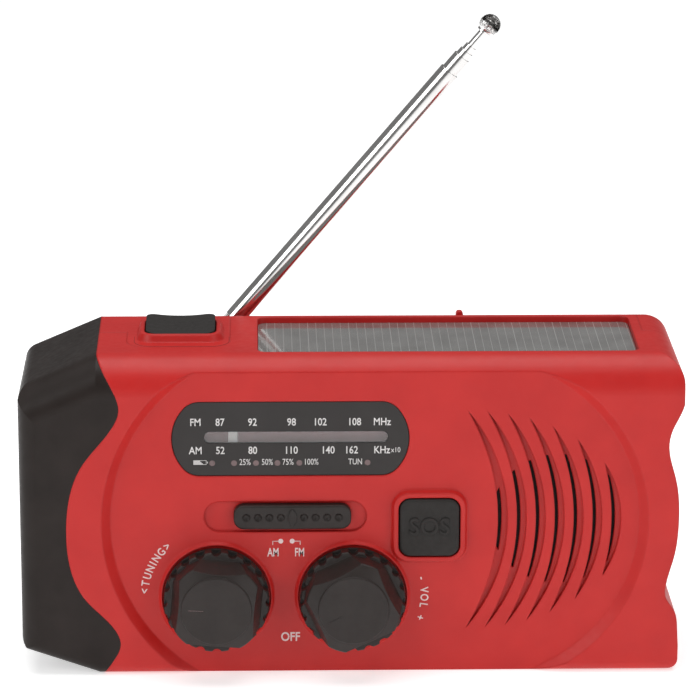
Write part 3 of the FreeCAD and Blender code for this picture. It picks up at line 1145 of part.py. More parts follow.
def make_screws():
    screws = []
    for x, z in SCREWS:
        head = ycyl(x, z, SCREW_HEAD_R, SCREW_SEAT_Y, SCREW_SEAT_Y + SCREW_HEAD_T)
        slot_y = SCREW_SEAT_Y + SCREW_HEAD_T - 0.8
        cross = [box(x - 1.6, x + 1.6, slot_y, slot_y + 2, z - 0.3, z + 0.3),
                 box(x - 0.3, x + 0.3, slot_y, slot_y + 2, z - 1.6, z + 1.6)]
        screws.append(cut(fuse(head, ycyl(x, z, SCREW_R, SCREW_TIP_Y, SCREW_SEAT_Y + 0.1)), *cross))
    return Part.makeCompound(screws)


# ---------------------------------------------------------------- aerial
def tilt(shape):
    """Turn a shape built along +X at the pivot up to the rest angle."""
    return turn(shape, V(AERIAL_X, AERIAL_Y, AERIAL_Z), V(0, 1, 0), -AERIAL_TILT)


def along(start, end, r):
    return xcyl(AERIAL_Y, AERIAL_Z, r, AERIAL_X + start, AERIAL_X + end)


def section_radius(i):
    return TUBE_R - i * TUBE_STEP


def make_turret():
    disc_top = SHELF_Z + TURRET_DISC_T
    disc = zcyl(AERIAL_X, AERIAL_Y, TURRET_R, SHELF_Z, disc_top)
    inner = SHELF_Z - TOP_WALL
    stub = zcyl(AERIAL_X, AERIAL_Y, STUB_R, inner - RIVET_T, SHELF_Z + 0.1)
    rivet = zcyl(AERIAL_X, AERIAL_Y, RIVET_R, inner - RIVET_T - 0.1, inner - 0.1)
    gap = TAB_T / 2 + 0.05
    sides = []
    for side in (-1, 1):
        y0, y1 = sorted((AERIAL_Y + side * gap, AERIAL_Y + side * (gap + CHEEK_T)))
        sides.append(fuse(ycyl(AERIAL_X, AERIAL_Z, CHEEK_R, y0, y1),
                          box(AERIAL_X - CHEEK_R, AERIAL_X + CHEEK_R, y0, y1, disc_top - 0.1, AERIAL_Z)))
    turret = fuse(disc, stub, rivet, *sides)
    return turret.cut(ycyl(AERIAL_X, AERIAL_Z, PIVOT_PIN_R, AERIAL_Y - 9, AERIAL_Y + 9))


def make_pivot_pin():
    reach = TAB_T / 2 + 0.05 + CHEEK_T
    return fuse(ycyl(AERIAL_X, AERIAL_Z, PIVOT_PIN_R, AERIAL_Y - reach, AERIAL_Y + reach),
                ycyl(AERIAL_X, AERIAL_Z, PIVOT_PIN_R + 0.9, AERIAL_Y + reach, AERIAL_Y + reach + 0.6))


def make_aerial_base():
    """Outer tube with the flattened tab that hinges in the turret."""
    tab = fuse(ycyl(AERIAL_X, AERIAL_Z, TAB_R, AERIAL_Y - TAB_T / 2, AERIAL_Y + TAB_T / 2),
               box(AERIAL_X, AERIAL_X + TUBE_START + 0.5, AERIAL_Y - TAB_T / 2, AERIAL_Y + TAB_T / 2,
                   AERIAL_Z - TAB_R, AERIAL_Z + TAB_R))
    bore = along(TUBE_START + 4, TUBE_ENDS[0] + 1, TUBE_R - TUBE_WALL)
    tube = along(TUBE_START, TUBE_ENDS[0], TUBE_R).cut(bore)
    tab = tab.common(along(-TUBE_R, TUBE_START + 1, TUBE_R))
    body = fuse(tab, tube).cut(ycyl(AERIAL_X, AERIAL_Z, PIVOT_PIN_R + FIT, AERIAL_Y - 9, AERIAL_Y + 9))
    return tilt(body)


def make_section(i):
    r = section_radius(i)
    tube = along(TUBE_STARTS[i], TUBE_ENDS[i], r)
    return tilt(tube.cut(along(TUBE_STARTS[i] + 1, TUBE_ENDS[i] + 1, r - TUBE_WALL)))


def make_rod():
    last = len(TUBE_ENDS) - 1
    r, end = section_radius(last), TUBE_ENDS[last]
    collar = along(end, end + 1.2, r + 0.7)
    dome = Part.makeSphere(TIP_R, V(AERIAL_X + end + 1.2 + TIP_L * 0.35, AERIAL_Y, AERIAL_Z))
    cap = dome.common(along(end + 1.2, end + 1.2 + TIP_L, TIP_R))
    return tilt(fuse(along(TUBE_STARTS[last], end + 0.1, r), collar, cap))


# ---------------------------------------------------------------- build
def build():
    full, hollow, nose = outside(), inside(), nose_region()
    skin = full.cut(hollow).cut(nose)
    skin = skin.cut(front_panel_cut())
    region = front_region()
    return {
        "front_shell": make_front_shell(skin, region),
        "rear_shell": make_rear_shell(skin, region, nose),
        "nose_shell": make_nose(full, hollow, nose),
        "torch_lens": xcyl(0, LENS_Z, LENS_R, LEFT_X, LEFT_X + LENS_T),
        "torch_reflector": make_reflector(),
        "torch_lamp": make_lamp_board(),
        "dial_plate": make_dial_plate(),
        "dial_window": make_dial_window(),
        "dial_backing": make_dial_backing(),
        "indicator_lamps": make_lamps(),
        "dial_pointer": make_pointer(),
        "pointer_rail": make_rail(),
        "dial_cord": make_cord(),
        "tuning_knob": make_knob(TUNING_X, TUNING_SCOOP),
        "tuning_drum": make_tuning_drum(),
        "tuning_capacitor": make_tuning_capacitor(),
        "volume_knob": make_knob(VOLUME_X, VOLUME_SCOOP),
        "volume_shaft": make_shaft(VOLUME_X),
        "volume_pot": make_volume_pot(),
        "band_slider": make_band_slider(),
        "band_switch": make_band_switch(),
        "sos_button": make_sos_button(),
        "torch_button": make_torch_button(),
        "press_switches": make_tact_switches(),
        "switch_board": make_switch_board(),
        "solar_panel": make_solar_panel(),
        "main_board": make_main_board(),
        "ferrite_rod": make_ferrite_rod(),
        "ferrite_coil": make_coil(),
        "speaker_cloth": make_speaker_cloth(),
        "speaker_frame": make_speaker_frame(),
        "speaker_cone": make_speaker_cone(),
        "speaker_magnet": make_speaker_magnet(),
        "crank_arm": make_crank_arm(),
        "crank_shaft": make_crank_shaft(),
        "crank_gear": make_crank_gear(),
        "grip_pin": make_grip_pin(),
        "grip_spindle": make_grip_spindle(),
        "grip_sleeve": make_grip_sleeve(),
        "idler_gear": make_idler(),
        "idler_axle": make_idler_axle(),
        "generator_pinion": make_generator_pinion(),
        "generator": make_generator(),
        "gear_plate": make_gear_plate(),
        "cell": make_cell(),
        "cell_contacts": make_contacts(),
        "cell_tray": make_cell_tray(),
        "cell_cover": make_cell_cover(),
        "sockets": make_sockets(),
        "socket_board": make_port_board(),
        "socket_cover": make_port_cover(),
        "headphone_jack": make_jack(),
        "case_screws": make_screws(),
        "aerial_turret": make_turret(),
        "aerial_pin": make_pivot_pin(),
        "aerial_tube_1": make_aerial_base(),
        "aerial_tube_2": make_section(1),
        "aerial_tube_3": make_section(2),
        "aerial_tube_4": make_section(3),
        "aerial_rod": make_rod(),
    }


os.makedirs("parts", exist_ok=True)
for name, shape in build().items():
    shape.exportStep(f"parts/{name}.step")
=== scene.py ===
"""Looks for the hand-crank emergency radio: materials, printing and small trim around the CAD frame."""
import math

import bpy
from mathutils import Matrix, Vector


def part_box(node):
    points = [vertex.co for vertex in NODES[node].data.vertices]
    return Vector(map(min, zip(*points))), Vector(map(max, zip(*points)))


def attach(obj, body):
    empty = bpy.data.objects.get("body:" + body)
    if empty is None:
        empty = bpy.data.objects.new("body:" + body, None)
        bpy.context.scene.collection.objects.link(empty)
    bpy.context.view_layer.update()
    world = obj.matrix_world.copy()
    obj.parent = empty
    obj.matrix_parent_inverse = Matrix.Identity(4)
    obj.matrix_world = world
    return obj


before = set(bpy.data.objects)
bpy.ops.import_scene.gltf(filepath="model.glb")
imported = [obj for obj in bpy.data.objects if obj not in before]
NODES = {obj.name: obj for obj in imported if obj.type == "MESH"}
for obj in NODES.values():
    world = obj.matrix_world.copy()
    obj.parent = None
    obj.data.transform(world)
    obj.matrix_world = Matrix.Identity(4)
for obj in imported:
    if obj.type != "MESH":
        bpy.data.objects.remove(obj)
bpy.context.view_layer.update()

MM = 0.001


# ---------------------------------------------------------------- places taken from the frame
def box_mm(node):
    """Lowest and highest corner of a node, in millimetres."""
    low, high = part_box(node)
    return [v / MM for v in low], [v / MM for v in high]


def middle(node):
    low, high = box_mm(node)
    return [(a + b) / 2 for a, b in zip(low, high)]


PANEL_Y = box_mm("dial_plate")[0][1] - 0.2   # floor of the sunken front panel
DIAL_LOW, DIAL_HIGH = box_mm("dial_plate")
DIAL_Y = DIAL_LOW[1]
SLOT_LOW, SLOT_HIGH = box_mm("dial_window")
TUNING = middle("tuning_knob")
VOLUME = middle("volume_knob")
KNOB_FACE_Y = box_mm("tuning_knob")[0][1]
SOS_LOW, SOS_HIGH = box_mm("sos_button")
SLIDER = middle("band_slider")
TORCH_LOW, TORCH_HIGH = box_mm("torch_button")
TORCH_FLANGE, TORCH_DIP, TORCH_FALL = 1.2, 0.7, 1.3      # hidden rim, hollow and slope of the button's top


# ---------------------------------------------------------------- shader helpers
class Shader:
    """A material with a Principled shader and short calls for the nodes around it."""

    def __init__(self, name, color, roughness, metallic=0.0, **sockets):
        self.material = bpy.data.materials.new(name)
        self.material.use_nodes = True
        self.nodes = self.material.node_tree.nodes
        self.links = self.material.node_tree.links
        self.principled = self.nodes["Principled BSDF"]
        self.set(self.principled, "Base Color", (*color, 1.0))
        self.set(self.principled, "Roughness", roughness)
        self.set(self.principled, "Metallic", metallic)
        for socket, value in sockets.items():
            self.set(self.principled, socket.replace("_", " "), value)
        self.position = self.node("ShaderNodeTexCoord").outputs["Object"]

    def set(self, node, socket, value):
        node.inputs[socket].default_value = value

    def node(self, kind, **values):
        made = self.nodes.new(kind)
        for key, value in values.items():
            setattr(made, key, value)
        return made

    def link(self, output, node, socket):
        self.links.new(output, node.inputs[socket])

    def noise(self, size_mm, detail=3.0, rough=0.5):
        made = self.node("ShaderNodeTexNoise")
        self.link(self.position, made, "Vector")
        self.set(made, "Scale", 1.0 / (size_mm * MM))
        self.set(made, "Detail", detail)
        self.set(made, "Roughness", rough)
        return made.outputs["Fac"]

    def spread(self, value, low, high):
        """Maps 0.3..0.7 of a noise to low..high."""
        made = self.node("ShaderNodeMapRange")
        self.link(value, made, "Value")
        self.set(made, "From Min", 0.3)
        self.set(made, "From Max", 0.7)
        self.set(made, "To Min", low)
        self.set(made, "To Max", high)
        return made.outputs["Result"]

    def vary_color(self, value, dark, light):
        ramp = self.node("ShaderNodeMix", data_type="RGBA")
        self.link(value, ramp, "Factor")
        ramp.inputs[6].default_value = (*dark, 1.0)
        ramp.inputs[7].default_value = (*light, 1.0)
        self.link(ramp.outputs[2], self.principled, "Base Color")
        return ramp.outputs[2]

    def bump(self, height, depth_mm, normal=None):
        made = self.node("ShaderNodeBump")
        self.link(height, made, "Height")
        self.set(made, "Distance", depth_mm * MM)
        self.set(made, "Strength", 1.0)
        if normal is not None:
            self.link(normal, made, "Normal")
        return made.outputs["Normal"]

    def soft_edges(self, radius_mm):
        made = self.node("ShaderNodeBevel", samples=6)
        self.set(made, "Radius", radius_mm * MM)
        return made.outputs["Normal"]

    def finish(self, normal):
        self.link(normal, self.principled, "Normal")
        return self.material


def moulded(name, dark, light, rough, grain_mm=0.28, grain_depth=0.006, edge_mm=0.35, **sockets):
    """Moulded plastic: fine spark-eroded grain, faint cloudiness, slightly uneven gloss and soft edges."""
    s = Shader(name, light, rough[0], **sockets)
    s.vary_color(s.spread(s.noise(9.0, 4.0), 0.0, 1.0), dark, light)
    s.link(s.spread(s.noise(1.6, 4.0), rough[0], rough[1]), s.principled, "Roughness")
    return s.finish(s.bump(s.noise(grain_mm, 2.0), grain_depth, s.soft_edges(edge_mm)))


def rubber(name):
    """Dull black rubber with a pitted skin and a little pale dust."""
    s = Shader(name, (0.02, 0.019, 0.018), 0.62, Specular_IOR_Level=0.3)
    dust = s.node("ShaderNodeTexVoronoi")
    s.link(s.position, dust, "Vector")
    s.set(dust, "Scale", 1.0 / (0.75 * MM))
    fleck = s.node("ShaderNodeMapRange")
    s.link(dust.outputs["Distance"], fleck, "Value")
    s.set(fleck, "From Min", 0.02)
    s.set(fleck, "From Max", 0.1)
    s.set(fleck, "To Min", 0.55)
    s.set(fleck, "To Max", 0.0)
    s.vary_color(fleck.outputs["Result"], (0.019, 0.0165, 0.015), (0.07, 0.068, 0.065))
    s.link(s.spread(s.noise(1.2), 0.52, 0.7), s.principled, "Roughness")
    return s.finish(s.bump(s.noise(0.35, 3.0), 0.02, s.soft_edges(0.4)))


def chrome(name):
    """Polished chrome with faint draw marks and fingerprints."""
    s = Shader(name, (0.78, 0.77, 0.76), 0.08, 1.0)
    s.vary_color(s.spread(s.noise(12.0), 0.0, 1.0), (0.66, 0.65, 0.64), (0.82, 0.81, 0.8))
    s.link(s.spread(s.noise(2.5, 4.0), 0.05, 0.16), s.principled, "Roughness")
    return s.finish(s.bump(s.noise(0.8, 2.0), 0.004, s.soft_edges(0.12)))


def brushed(name, color, rough=(0.25, 0.45)):
    s = Shader(name, color, rough[0], 1.0)
    stretch = s.node("ShaderNodeMapping")
    s.link(s.position, stretch, "Vector")
    stretch.inputs["Scale"].default_value = (1.0, 14.0, 14.0)
    grain = s.node("ShaderNodeTexNoise")
    s.link(stretch.outputs["Vector"], grain, "Vector")
    s.set(grain, "Scale", 160.0)
    s.link(s.spread(grain.outputs["Fac"], *rough), s.principled, "Roughness")
    s.vary_color(s.spread(s.noise(6.0), 0.0, 1.0), tuple(c * 0.85 for c in color), color)
    return s.finish(s.bump(grain.outputs["Fac"], 0.004, s.soft_edges(0.15)))


def clear(name, tint, rough):
    s = Shader(name, tint, rough, Transmission_Weight=0.95, IOR=1.49)
    s.vary_color(s.spread(s.noise(8.0), 0.0, 1.0), tuple(c * 0.96 for c in tint), tint)
    s.link(s.spread(s.noise(2.0), rough, rough + 0.05), s.principled, "Roughness")
    return s.finish(s.bump(s.noise(4.0, 1.0), 0.002))


SOLAR_PITCH = 2.0        # millimetres between collector lines


def solar(name):
    """Dark cells under clear resin, with fine pale collector lines across the panel."""
    s = Shader(name, (0.17, 0.17, 0.175), 0.12, Coat_Weight=0.8, Coat_Roughness=0.05)
    split = s.node("ShaderNodeSeparateXYZ")
    s.link(s.position, split, "Vector")

    def lines(output, pitch_mm, width):
        scaled = s.node("ShaderNodeMath", operation="MULTIPLY")
        s.link(output, scaled, 0)
        scaled.inputs[1].default_value = 1.0 / (pitch_mm * MM)
        part = s.node("ShaderNodeMath", operation="FRACT")
        s.link(scaled.outputs[0], part, 0)
        edge = s.node("ShaderNodeMath", operation="LESS_THAN")
        s.link(part.outputs[0], edge, 0)
        edge.inputs[1].default_value = width
        return edge.outputs[0]

    fine = lines(split.outputs["X"], SOLAR_PITCH, 0.07)
    wide = lines(split.outputs["X"], SOLAR_PITCH * 5, 0.02)
    both = s.node("ShaderNodeMath", operation="MAXIMUM")
    s.link(fine, both, 0)
    s.link(wide, both, 1)
    cloud = s.spread(s.noise(7.0), 0.0, 0.35)
    mixed = s.node("ShaderNodeMath", operation="MAXIMUM")
    s.link(both.outputs[0], mixed, 0)
    s.link(cloud, mixed, 1)
    s.vary_color(mixed.outputs[0], (0.14, 0.135, 0.128), (0.33, 0.325, 0.315))
    s.link(s.spread(s.noise(1.5), 0.1, 0.2), s.principled, "Roughness")
    return s.finish(s.bump(both.outputs[0], 0.01))


def cloth(name, color):
    """Woven speaker cloth."""
    s = Shader(name, color, 0.9)
    weave = s.node("ShaderNodeTexWave", wave_type="BANDS", bands_direction="X")
    cross = s.node("ShaderNodeTexWave", wave_type="BANDS", bands_direction="Z")
    for wave in (weave, cross):
        s.link(s.position, wave, "Vector")
        s.set(wave, "Scale", 900.0)
        s.set(wave, "Distortion", 0.6)
    both = s.node("ShaderNodeMath", operation="MULTIPLY")
    s.link(weave.outputs["Fac"], both, 0)
    s.link(cross.outputs["Fac"], both, 1)
    s.vary_color(both.outputs[0], tuple(c * 0.4 for c in color), color)
    return s.finish(s.bump(both.outputs[0], 0.08))


def make_materials():
    black = dict(dark=(0.014, 0.0095, 0.008), light=(0.021, 0.015, 0.013))
    return {
        "red": moulded("red_shell_plastic", (0.47, 0.009, 0.0075), (0.52, 0.013, 0.0105), (0.4, 0.5),
                       edge_mm=0.7, Specular_IOR_Level=0.4),
        "black": moulded("black_nose_plastic", rough=(0.36, 0.48), Specular_IOR_Level=0.2, **black),
        "knob": moulded("black_knob_plastic", rough=(0.4, 0.55), grain_mm=0.4, grain_depth=0.012, edge_mm=0.3,
                        Specular_IOR_Level=0.36, **black),
        "rubber": rubber("black_rubber"),
        "dial": moulded("dial_print_black", (0.018, 0.015, 0.014), (0.024, 0.02, 0.019), (0.3, 0.36),
                        grain_mm=1.0, grain_depth=0.0006, edge_mm=0.2, Specular_IOR_Level=0.35),
        "clear": clear("clear_window", (0.94, 0.93, 0.93), 0.05),
        "strip": moulded("pink_light_strip", (0.27, 0.1, 0.105), (0.32, 0.125, 0.13), (0.3, 0.4)),
        "white": moulded("white_plastic", (0.8, 0.79, 0.77), (0.86, 0.85, 0.83), (0.35, 0.45)),
        "print": moulded("white_print", (0.6, 0.58, 0.57), (0.7, 0.68, 0.67), (0.5, 0.6), edge_mm=0.02),
        "panel_print": moulded("panel_print", (0.7, 0.53, 0.52), (0.8, 0.64, 0.63), (0.5, 0.6), edge_mm=0.02),
        "seam": moulded("seam_shadow", (0.2, 0.008, 0.007), (0.26, 0.012, 0.01), (0.6, 0.7), edge_mm=0.02),
        "lamp": moulded("smoked_lamp", (0.13, 0.085, 0.085), (0.17, 0.11, 0.11), (0.25, 0.35), edge_mm=0.05),
        "chrome": chrome("aerial_chrome"),
        "steel": brushed("zinc_steel", (0.55, 0.55, 0.56)),
        "copper": brushed("copper_wire", (0.62, 0.29, 0.14)),
        "reflector": brushed("reflector_metal", (0.86, 0.86, 0.86), (0.04, 0.12)),
        "solar": solar("solar_cells"),
        "board": moulded("green_board", (0.01, 0.08, 0.03), (0.02, 0.13, 0.05), (0.3, 0.45)),
        "gear": moulded("gear_nylon", (0.68, 0.66, 0.58), (0.78, 0.76, 0.68), (0.4, 0.5)),
        "ferrite": moulded("ferrite_black", (0.03, 0.03, 0.03), (0.06, 0.06, 0.06), (0.7, 0.85),
                           grain_depth=0.03),
        "cloth": cloth("speaker_cloth_black", (0.03, 0.028, 0.027)),
        "paper": moulded("cone_paper", (0.05, 0.048, 0.045), (0.09, 0.086, 0.08), (0.8, 0.95),
                         grain_depth=0.04),
        "yarn": moulded("dial_yarn", (0.5, 0.47, 0.36), (0.66, 0.62, 0.5), (0.8, 0.95),
                        grain_mm=0.2, grain_depth=0.03),
        "wrap": moulded("cell_wrap_blue", (0.04, 0.1, 0.28), (0.06, 0.14, 0.36), (0.2, 0.3)),
    }


MATERIAL_NODES = {
    "red": ["front_shell", "rear_shell", "cell_cover", "socket_cover"],
    "black": ["nose_shell", "cell_tray", "headphone_jack", "crank_arm", "grip_sleeve", "press_switches"],
    "knob": ["tuning_knob", "volume_knob", "band_slider"],
    "rubber": ["sos_button", "torch_button"],
    "dial": ["dial_plate"],
    "clear": ["dial_window", "torch_lens"],
    "strip": ["dial_backing"],
    "white": ["dial_pointer", "torch_lamp", "tuning_capacitor", "gear_plate"],
    "lamp": ["indicator_lamps"],
    "chrome": ["aerial_turret", "aerial_tube_1", "aerial_tube_2", "aerial_tube_3", "aerial_tube_4",
               "aerial_rod"],
    "steel": ["pointer_rail", "volume_shaft", "volume_pot", "band_switch", "speaker_frame", "crank_shaft",
              "grip_pin", "grip_spindle", "idler_axle", "generator", "cell_contacts", "sockets",
              "case_screws", "aerial_pin"],
    "copper": ["ferrite_coil"],
    "reflector": ["torch_reflector"],
    "solar": ["solar_panel"],
    "board": ["switch_board", "main_board", "socket_board"],
    "gear": ["tuning_drum", "crank_gear", "idler_gear", "generator_pinion"],
    "ferrite": ["ferrite_rod", "speaker_magnet"],
    "cloth": ["speaker_cloth"],
    "paper": ["speaker_cone"],
    "yarn": ["dial_cord"],
    "wrap": ["cell"],
}


def dress_nodes(materials):
    for key, names in MATERIAL_NODES.items():
        for name in names:
            mesh = NODES[name].data
            mesh.materials.clear()
            mesh.materials.append(materials[key])


# ---------------------------------------------------------------- pieces
def piece(name, obj, material, body):
    obj.name = name
    obj.data.name = name
    obj.data.materials.clear()
    obj.data.materials.append(material)
    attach(obj, body)
    return obj


def to_mesh(obj):
    """Turns a text or curve object into a mesh object at the origin."""
    bpy.context.view_layer.update()
    mesh = bpy.data.meshes.new_from_object(obj.evaluated_get(bpy.context.evaluated_depsgraph_get()))
    mesh.transform(obj.matrix_world)
    made = bpy.data.objects.new(obj.name, mesh)
    bpy.context.scene.collection.objects.link(made)
    bpy.data.objects.remove(obj)
    return made


def facing_front(x, y, z, turn_deg=0.0):
    """Places flat XY artwork upright, facing the front, in millimetres."""
    place = Matrix.Translation(Vector((x, y, z)) * MM)
    return place @ Matrix.Rotation(math.radians(-turn_deg), 4, "Y") @ Matrix.Rotation(math.pi / 2, 4, "X")


def lettering(text, x, y, z, height, turn_deg=0.0, squeeze=0.84, thick=0.04, spacing=1.0, weight=0.0):
    curve = bpy.data.curves.new("lettering", "FONT")
    curve.body = text
    curve.align_x = "CENTER"
    curve.align_y = "CENTER"
    curve.size = height * MM / 0.7
    curve.extrude = thick * MM / 2
    curve.offset = weight * MM
    curve.space_character = spacing
    curve.resolution_u = 3
    obj = bpy.data.objects.new("lettering", curve)
    bpy.context.scene.collection.objects.link(obj)
    obj.matrix_world = facing_front(x, y - thick / 2, z, turn_deg) @ Matrix.Diagonal((squeeze, 1, 1, 1))
    return to_mesh(obj)


def join(objects):
    """One mesh object out of several."""
    mesh = bpy.data.meshes.new("joined")
    verts, faces = [], []
    for obj in objects:
        start = len(verts)
        verts += [tuple(obj.matrix_world @ v.co) for v in obj.data.vertices]
        faces += [[start + i for i in p.vertices] for p in obj.data.polygons]
        bpy.data.objects.remove(obj)
    mesh.from_pydata(verts, [], faces)
    mesh.update()
    made = bpy.data.objects.new("joined", mesh)
    bpy.context.scene.collection.objects.link(made)
    return made


def stroke(points, radius, cyclic=False, smooth=True):
    """Round line through points given in millimetres."""
    curve = bpy.data.curves.new("stroke", "CURVE")
    curve.dimensions = "3D"
    curve.bevel_depth = radius * MM
    curve.bevel_resolution = 3
    curve.use_fill_caps = True
    spline = curve.splines.new("NURBS" if smooth else "POLY")
    spline.points.add(len(points) - 1)
    for point, co in zip(spline.points, points):
        point.co = (*(Vector(co) * MM), 1.0)
    spline.use_endpoint_u = True
    spline.order_u = 3
    spline.use_cyclic_u = cyclic
    obj = bpy.data.objects.new("stroke", curve)
    bpy.context.scene.collection.objects.link(obj)
    return to_mesh(obj)


def disc(x, y, z, radius, thick, count=32):
    """Flat round spot with its face to the front."""
    mesh = bpy.data.meshes.new("disc")
    ring = [(x + radius * math.cos(2 * math.pi * i / count), z + radius * math.sin(2 * math.pi * i / count))
            for i in range(count)]
    verts = [(px * MM, level * MM, pz * MM) for level in (y - thick, y) for px, pz in ring]
    sides = [[i, (i + 1) % count, count + (i + 1) % count, count + i] for i in range(count)]
    faces = [list(range(count))] + sides
    faces.append([2 * count - 1 - i for i in range(count)])
    mesh.from_pydata(verts, [], faces)
    made = bpy.data.objects.new("disc", mesh)
    bpy.context.scene.collection.objects.link(made)
    return made


# ---------------------------------------------------------------- printing on the dial
FM_MARKS = [("87", 3.8), ("92", 11.5), ("98", 20.75), ("102", 27.5), ("108", 35.65)]
AM_MARKS = [("52", 3.85), ("80", 11.55), ("110", 20.65), ("140", 29.4), ("162", 34.95)]
LEVEL_MARKS = [("25%", 9.7), ("50%", 15.0), ("75%", 19.9), ("100%", 25.4)]
DIGIT_H = 1.8
SMALL_H = 1.5
SMALL_SQUEEZE = 0.76     # width of the small letters against their ordinary width
LOWER_ROW_LIFT = 0.4     # the lower row stands this much nearer the slot
ROW_GAP = 3.7            # from the slot's middle line to each row of numbers
LEVEL_Z = 6.2            # from the slot's middle line down to the level marks


def dial_printing(materials):
    x0 = SLOT_LOW[0]
    mid_z = (SLOT_LOW[2] + SLOT_HIGH[2]) / 2
    y = DIAL_Y
    texts = []
    fm_z, am_z = mid_z + ROW_GAP, mid_z - ROW_GAP + LOWER_ROW_LIFT
    for marks, z, band, unit in ((FM_MARKS, fm_z, "FM", "MHz"), (AM_MARKS, am_z, "AM", "KHz")):
        texts += [lettering(label, x0 + dx, y, z, DIGIT_H, weight=0.03) for label, dx in marks]
        texts.append(lettering(band, x0 - 2.0, y, z, DIGIT_H, weight=0.03))
        texts.append(lettering(unit, x0 + 42.2, y, z, DIGIT_H, weight=0.03))
    texts.append(lettering("x10", x0 + 45.5, y, am_z, 1.25))
    texts += [lettering(label, x0 + dx, y, mid_z - LEVEL_Z, SMALL_H, squeeze=SMALL_SQUEEZE)
              for label, dx in LEVEL_MARKS + [("TUN", 35.9)]]
    piece("dial_printing", join(texts), materials["print"], "case")
    battery_mark(materials, x0 - 1.0, y, mid_z - LEVEL_Z)


def battery_mark(materials, x, y, z):
    """Small battery sign: outline with a terminal, filled at the left."""
    w, h, r = 1.5, 0.5, 0.08
    corners = [(x - w, y, z - h), (x + w, y, z - h), (x + w, y, z + h), (x - w, y, z + h)]
    outline = stroke(corners, r, True, False)
    end = stroke([(x + w + 0.28, y, z - 0.2), (x + w + 0.28, y, z + 0.2)], 0.12, False, False)
    fill = [stroke([(x - w, y, z + dz), (x + 0.35 - dz, y, z + dz)], 0.14, False, False)
            for dz in (-0.3, 0.0, 0.3)]
    piece("battery_mark", join([outline, end] + fill), materials["print"], "case")


# ---------------------------------------------------------------- printing on the front panel
NARROW_SIGNS = {"I": 0.55, " ": 0.7, "-": 0.8}       # share of an ordinary letter's width


def arc_lettering(text, centre, radius, start_deg, end_deg, height, y):
    """Letters set one by one round a knob; angles are counted from +X, anticlockwise."""
    made = []
    widths = [NARROW_SIGNS.get(letter, 1.0) for letter in text]
    places = [sum(widths[:i]) + widths[i] / 2 for i in range(len(text))]
    for letter, place in zip(text, places):
        if letter == " ":
            continue
        a = start_deg + (end_deg - start_deg) * (place - places[0]) / (places[-1] - places[0])
        x = centre[0] + radius * math.cos(math.radians(a))
        z = centre[2] + radius * math.sin(math.radians(a))
        made.append(lettering(letter, x, y, z, height, turn_deg=a - 90, weight=0.04))
    return made


def panel_printing(materials):
    y = PANEL_Y
    between = (TUNING[0] + VOLUME[0]) / 2
    slide_z = SLIDER[2]
    texts = [lettering("OFF", between + 1.4, y, TUNING[2] - 10.6, 2.2, weight=0.06),
             lettering("AM", SLIDER[0] - 4.6, y, slide_z - 9.3, 2.1, squeeze=0.64, weight=0.05),
             lettering("FM", SLIDER[0] + 1.7, y, slide_z - 9.3, 2.1, squeeze=0.64, weight=0.05)]
    texts += arc_lettering("<TUNING>", TUNING, 17.2, 175.5, 133, 1.9, y)
    texts += arc_lettering("- VOL +", VOLUME, 17.2, 14.5, -19.5, 1.9, y)
    for side, x in ((-1, SLIDER[0] - 2.8), (1, SLIDER[0] - 0.06)):
        z = slide_z - 6.4
        texts.append(disc(x, y, z, 0.6, 0.04))
        corner_x = x + side * 1.9
        texts.append(stroke([(x, y, z), (corner_x, y, z), (corner_x, y, z - 0.9)], 0.12, False, False))
    piece("panel_printing", join(texts), materials["panel_print"], "case")


# ---------------------------------------------------------------- small raised marks
def knob_line(material, name, knob, angle_deg, body):
    """Thin pointer line on the knob's face."""
    a = math.radians(angle_deg)
    ends = [(knob[0] + r * math.cos(a), KNOB_FACE_Y, knob[2] + r * math.sin(a)) for r in (3.1, 6.7)]
    piece(name, stroke(ends, 0.06, False, False), material, body)


def sos_letters(materials):
    x, z = (SOS_LOW[0] + SOS_HIGH[0]) / 2, (SOS_LOW[2] + SOS_HIGH[2]) / 2
    raised = lettering("SOS", x, SOS_LOW[1] + 0.02, z + 0.2, 4.2, squeeze=0.95, thick=0.3, weight=0.12)
    piece("sos_letters", raised, materials["rubber"], "sos")


def torch_mark(materials):
    """Raised torch sign on the button's hollowed top: a lamp bowl and three rays."""
    low, high = TORCH_LOW, TORCH_HIGH
    x, y = (low[0] + high[0]) / 2, (low[1] + high[1]) / 2
    half, depth = (high[0] - low[0]) / 2 - TORCH_FLANGE, high[1] - low[1] - 2 * TORCH_FLANGE
    back = high[1] - TORCH_FLANGE

    def on_top(px, py):
        fall = TORCH_FALL * (back - py) / depth
        return (px, py, high[2] - TORCH_DIP + TORCH_DIP * ((px - x) / half) ** 2 - fall)

    bowl = [on_top(x + 1.2 + 2.4 * math.cos(t), y + 2.3 * math.sin(t))
            for t in [math.radians(a) for a in range(-130, 131, 20)]]
    rays = [[on_top(x - 0.9, y + dy), on_top(x - 2.4, y + dy * 1.15), on_top(x - 3.9, y + dy * 1.3)]
            for dy in (-1.9, 0.0, 1.9)]
    parts = [stroke(bowl, 0.22)] + [stroke(ray, 0.22) for ray in rays]
    piece("torch_mark", join(parts), materials["rubber"], "torch_key")


QUARTER = [math.radians(a) for a in range(0, 91, 15)]


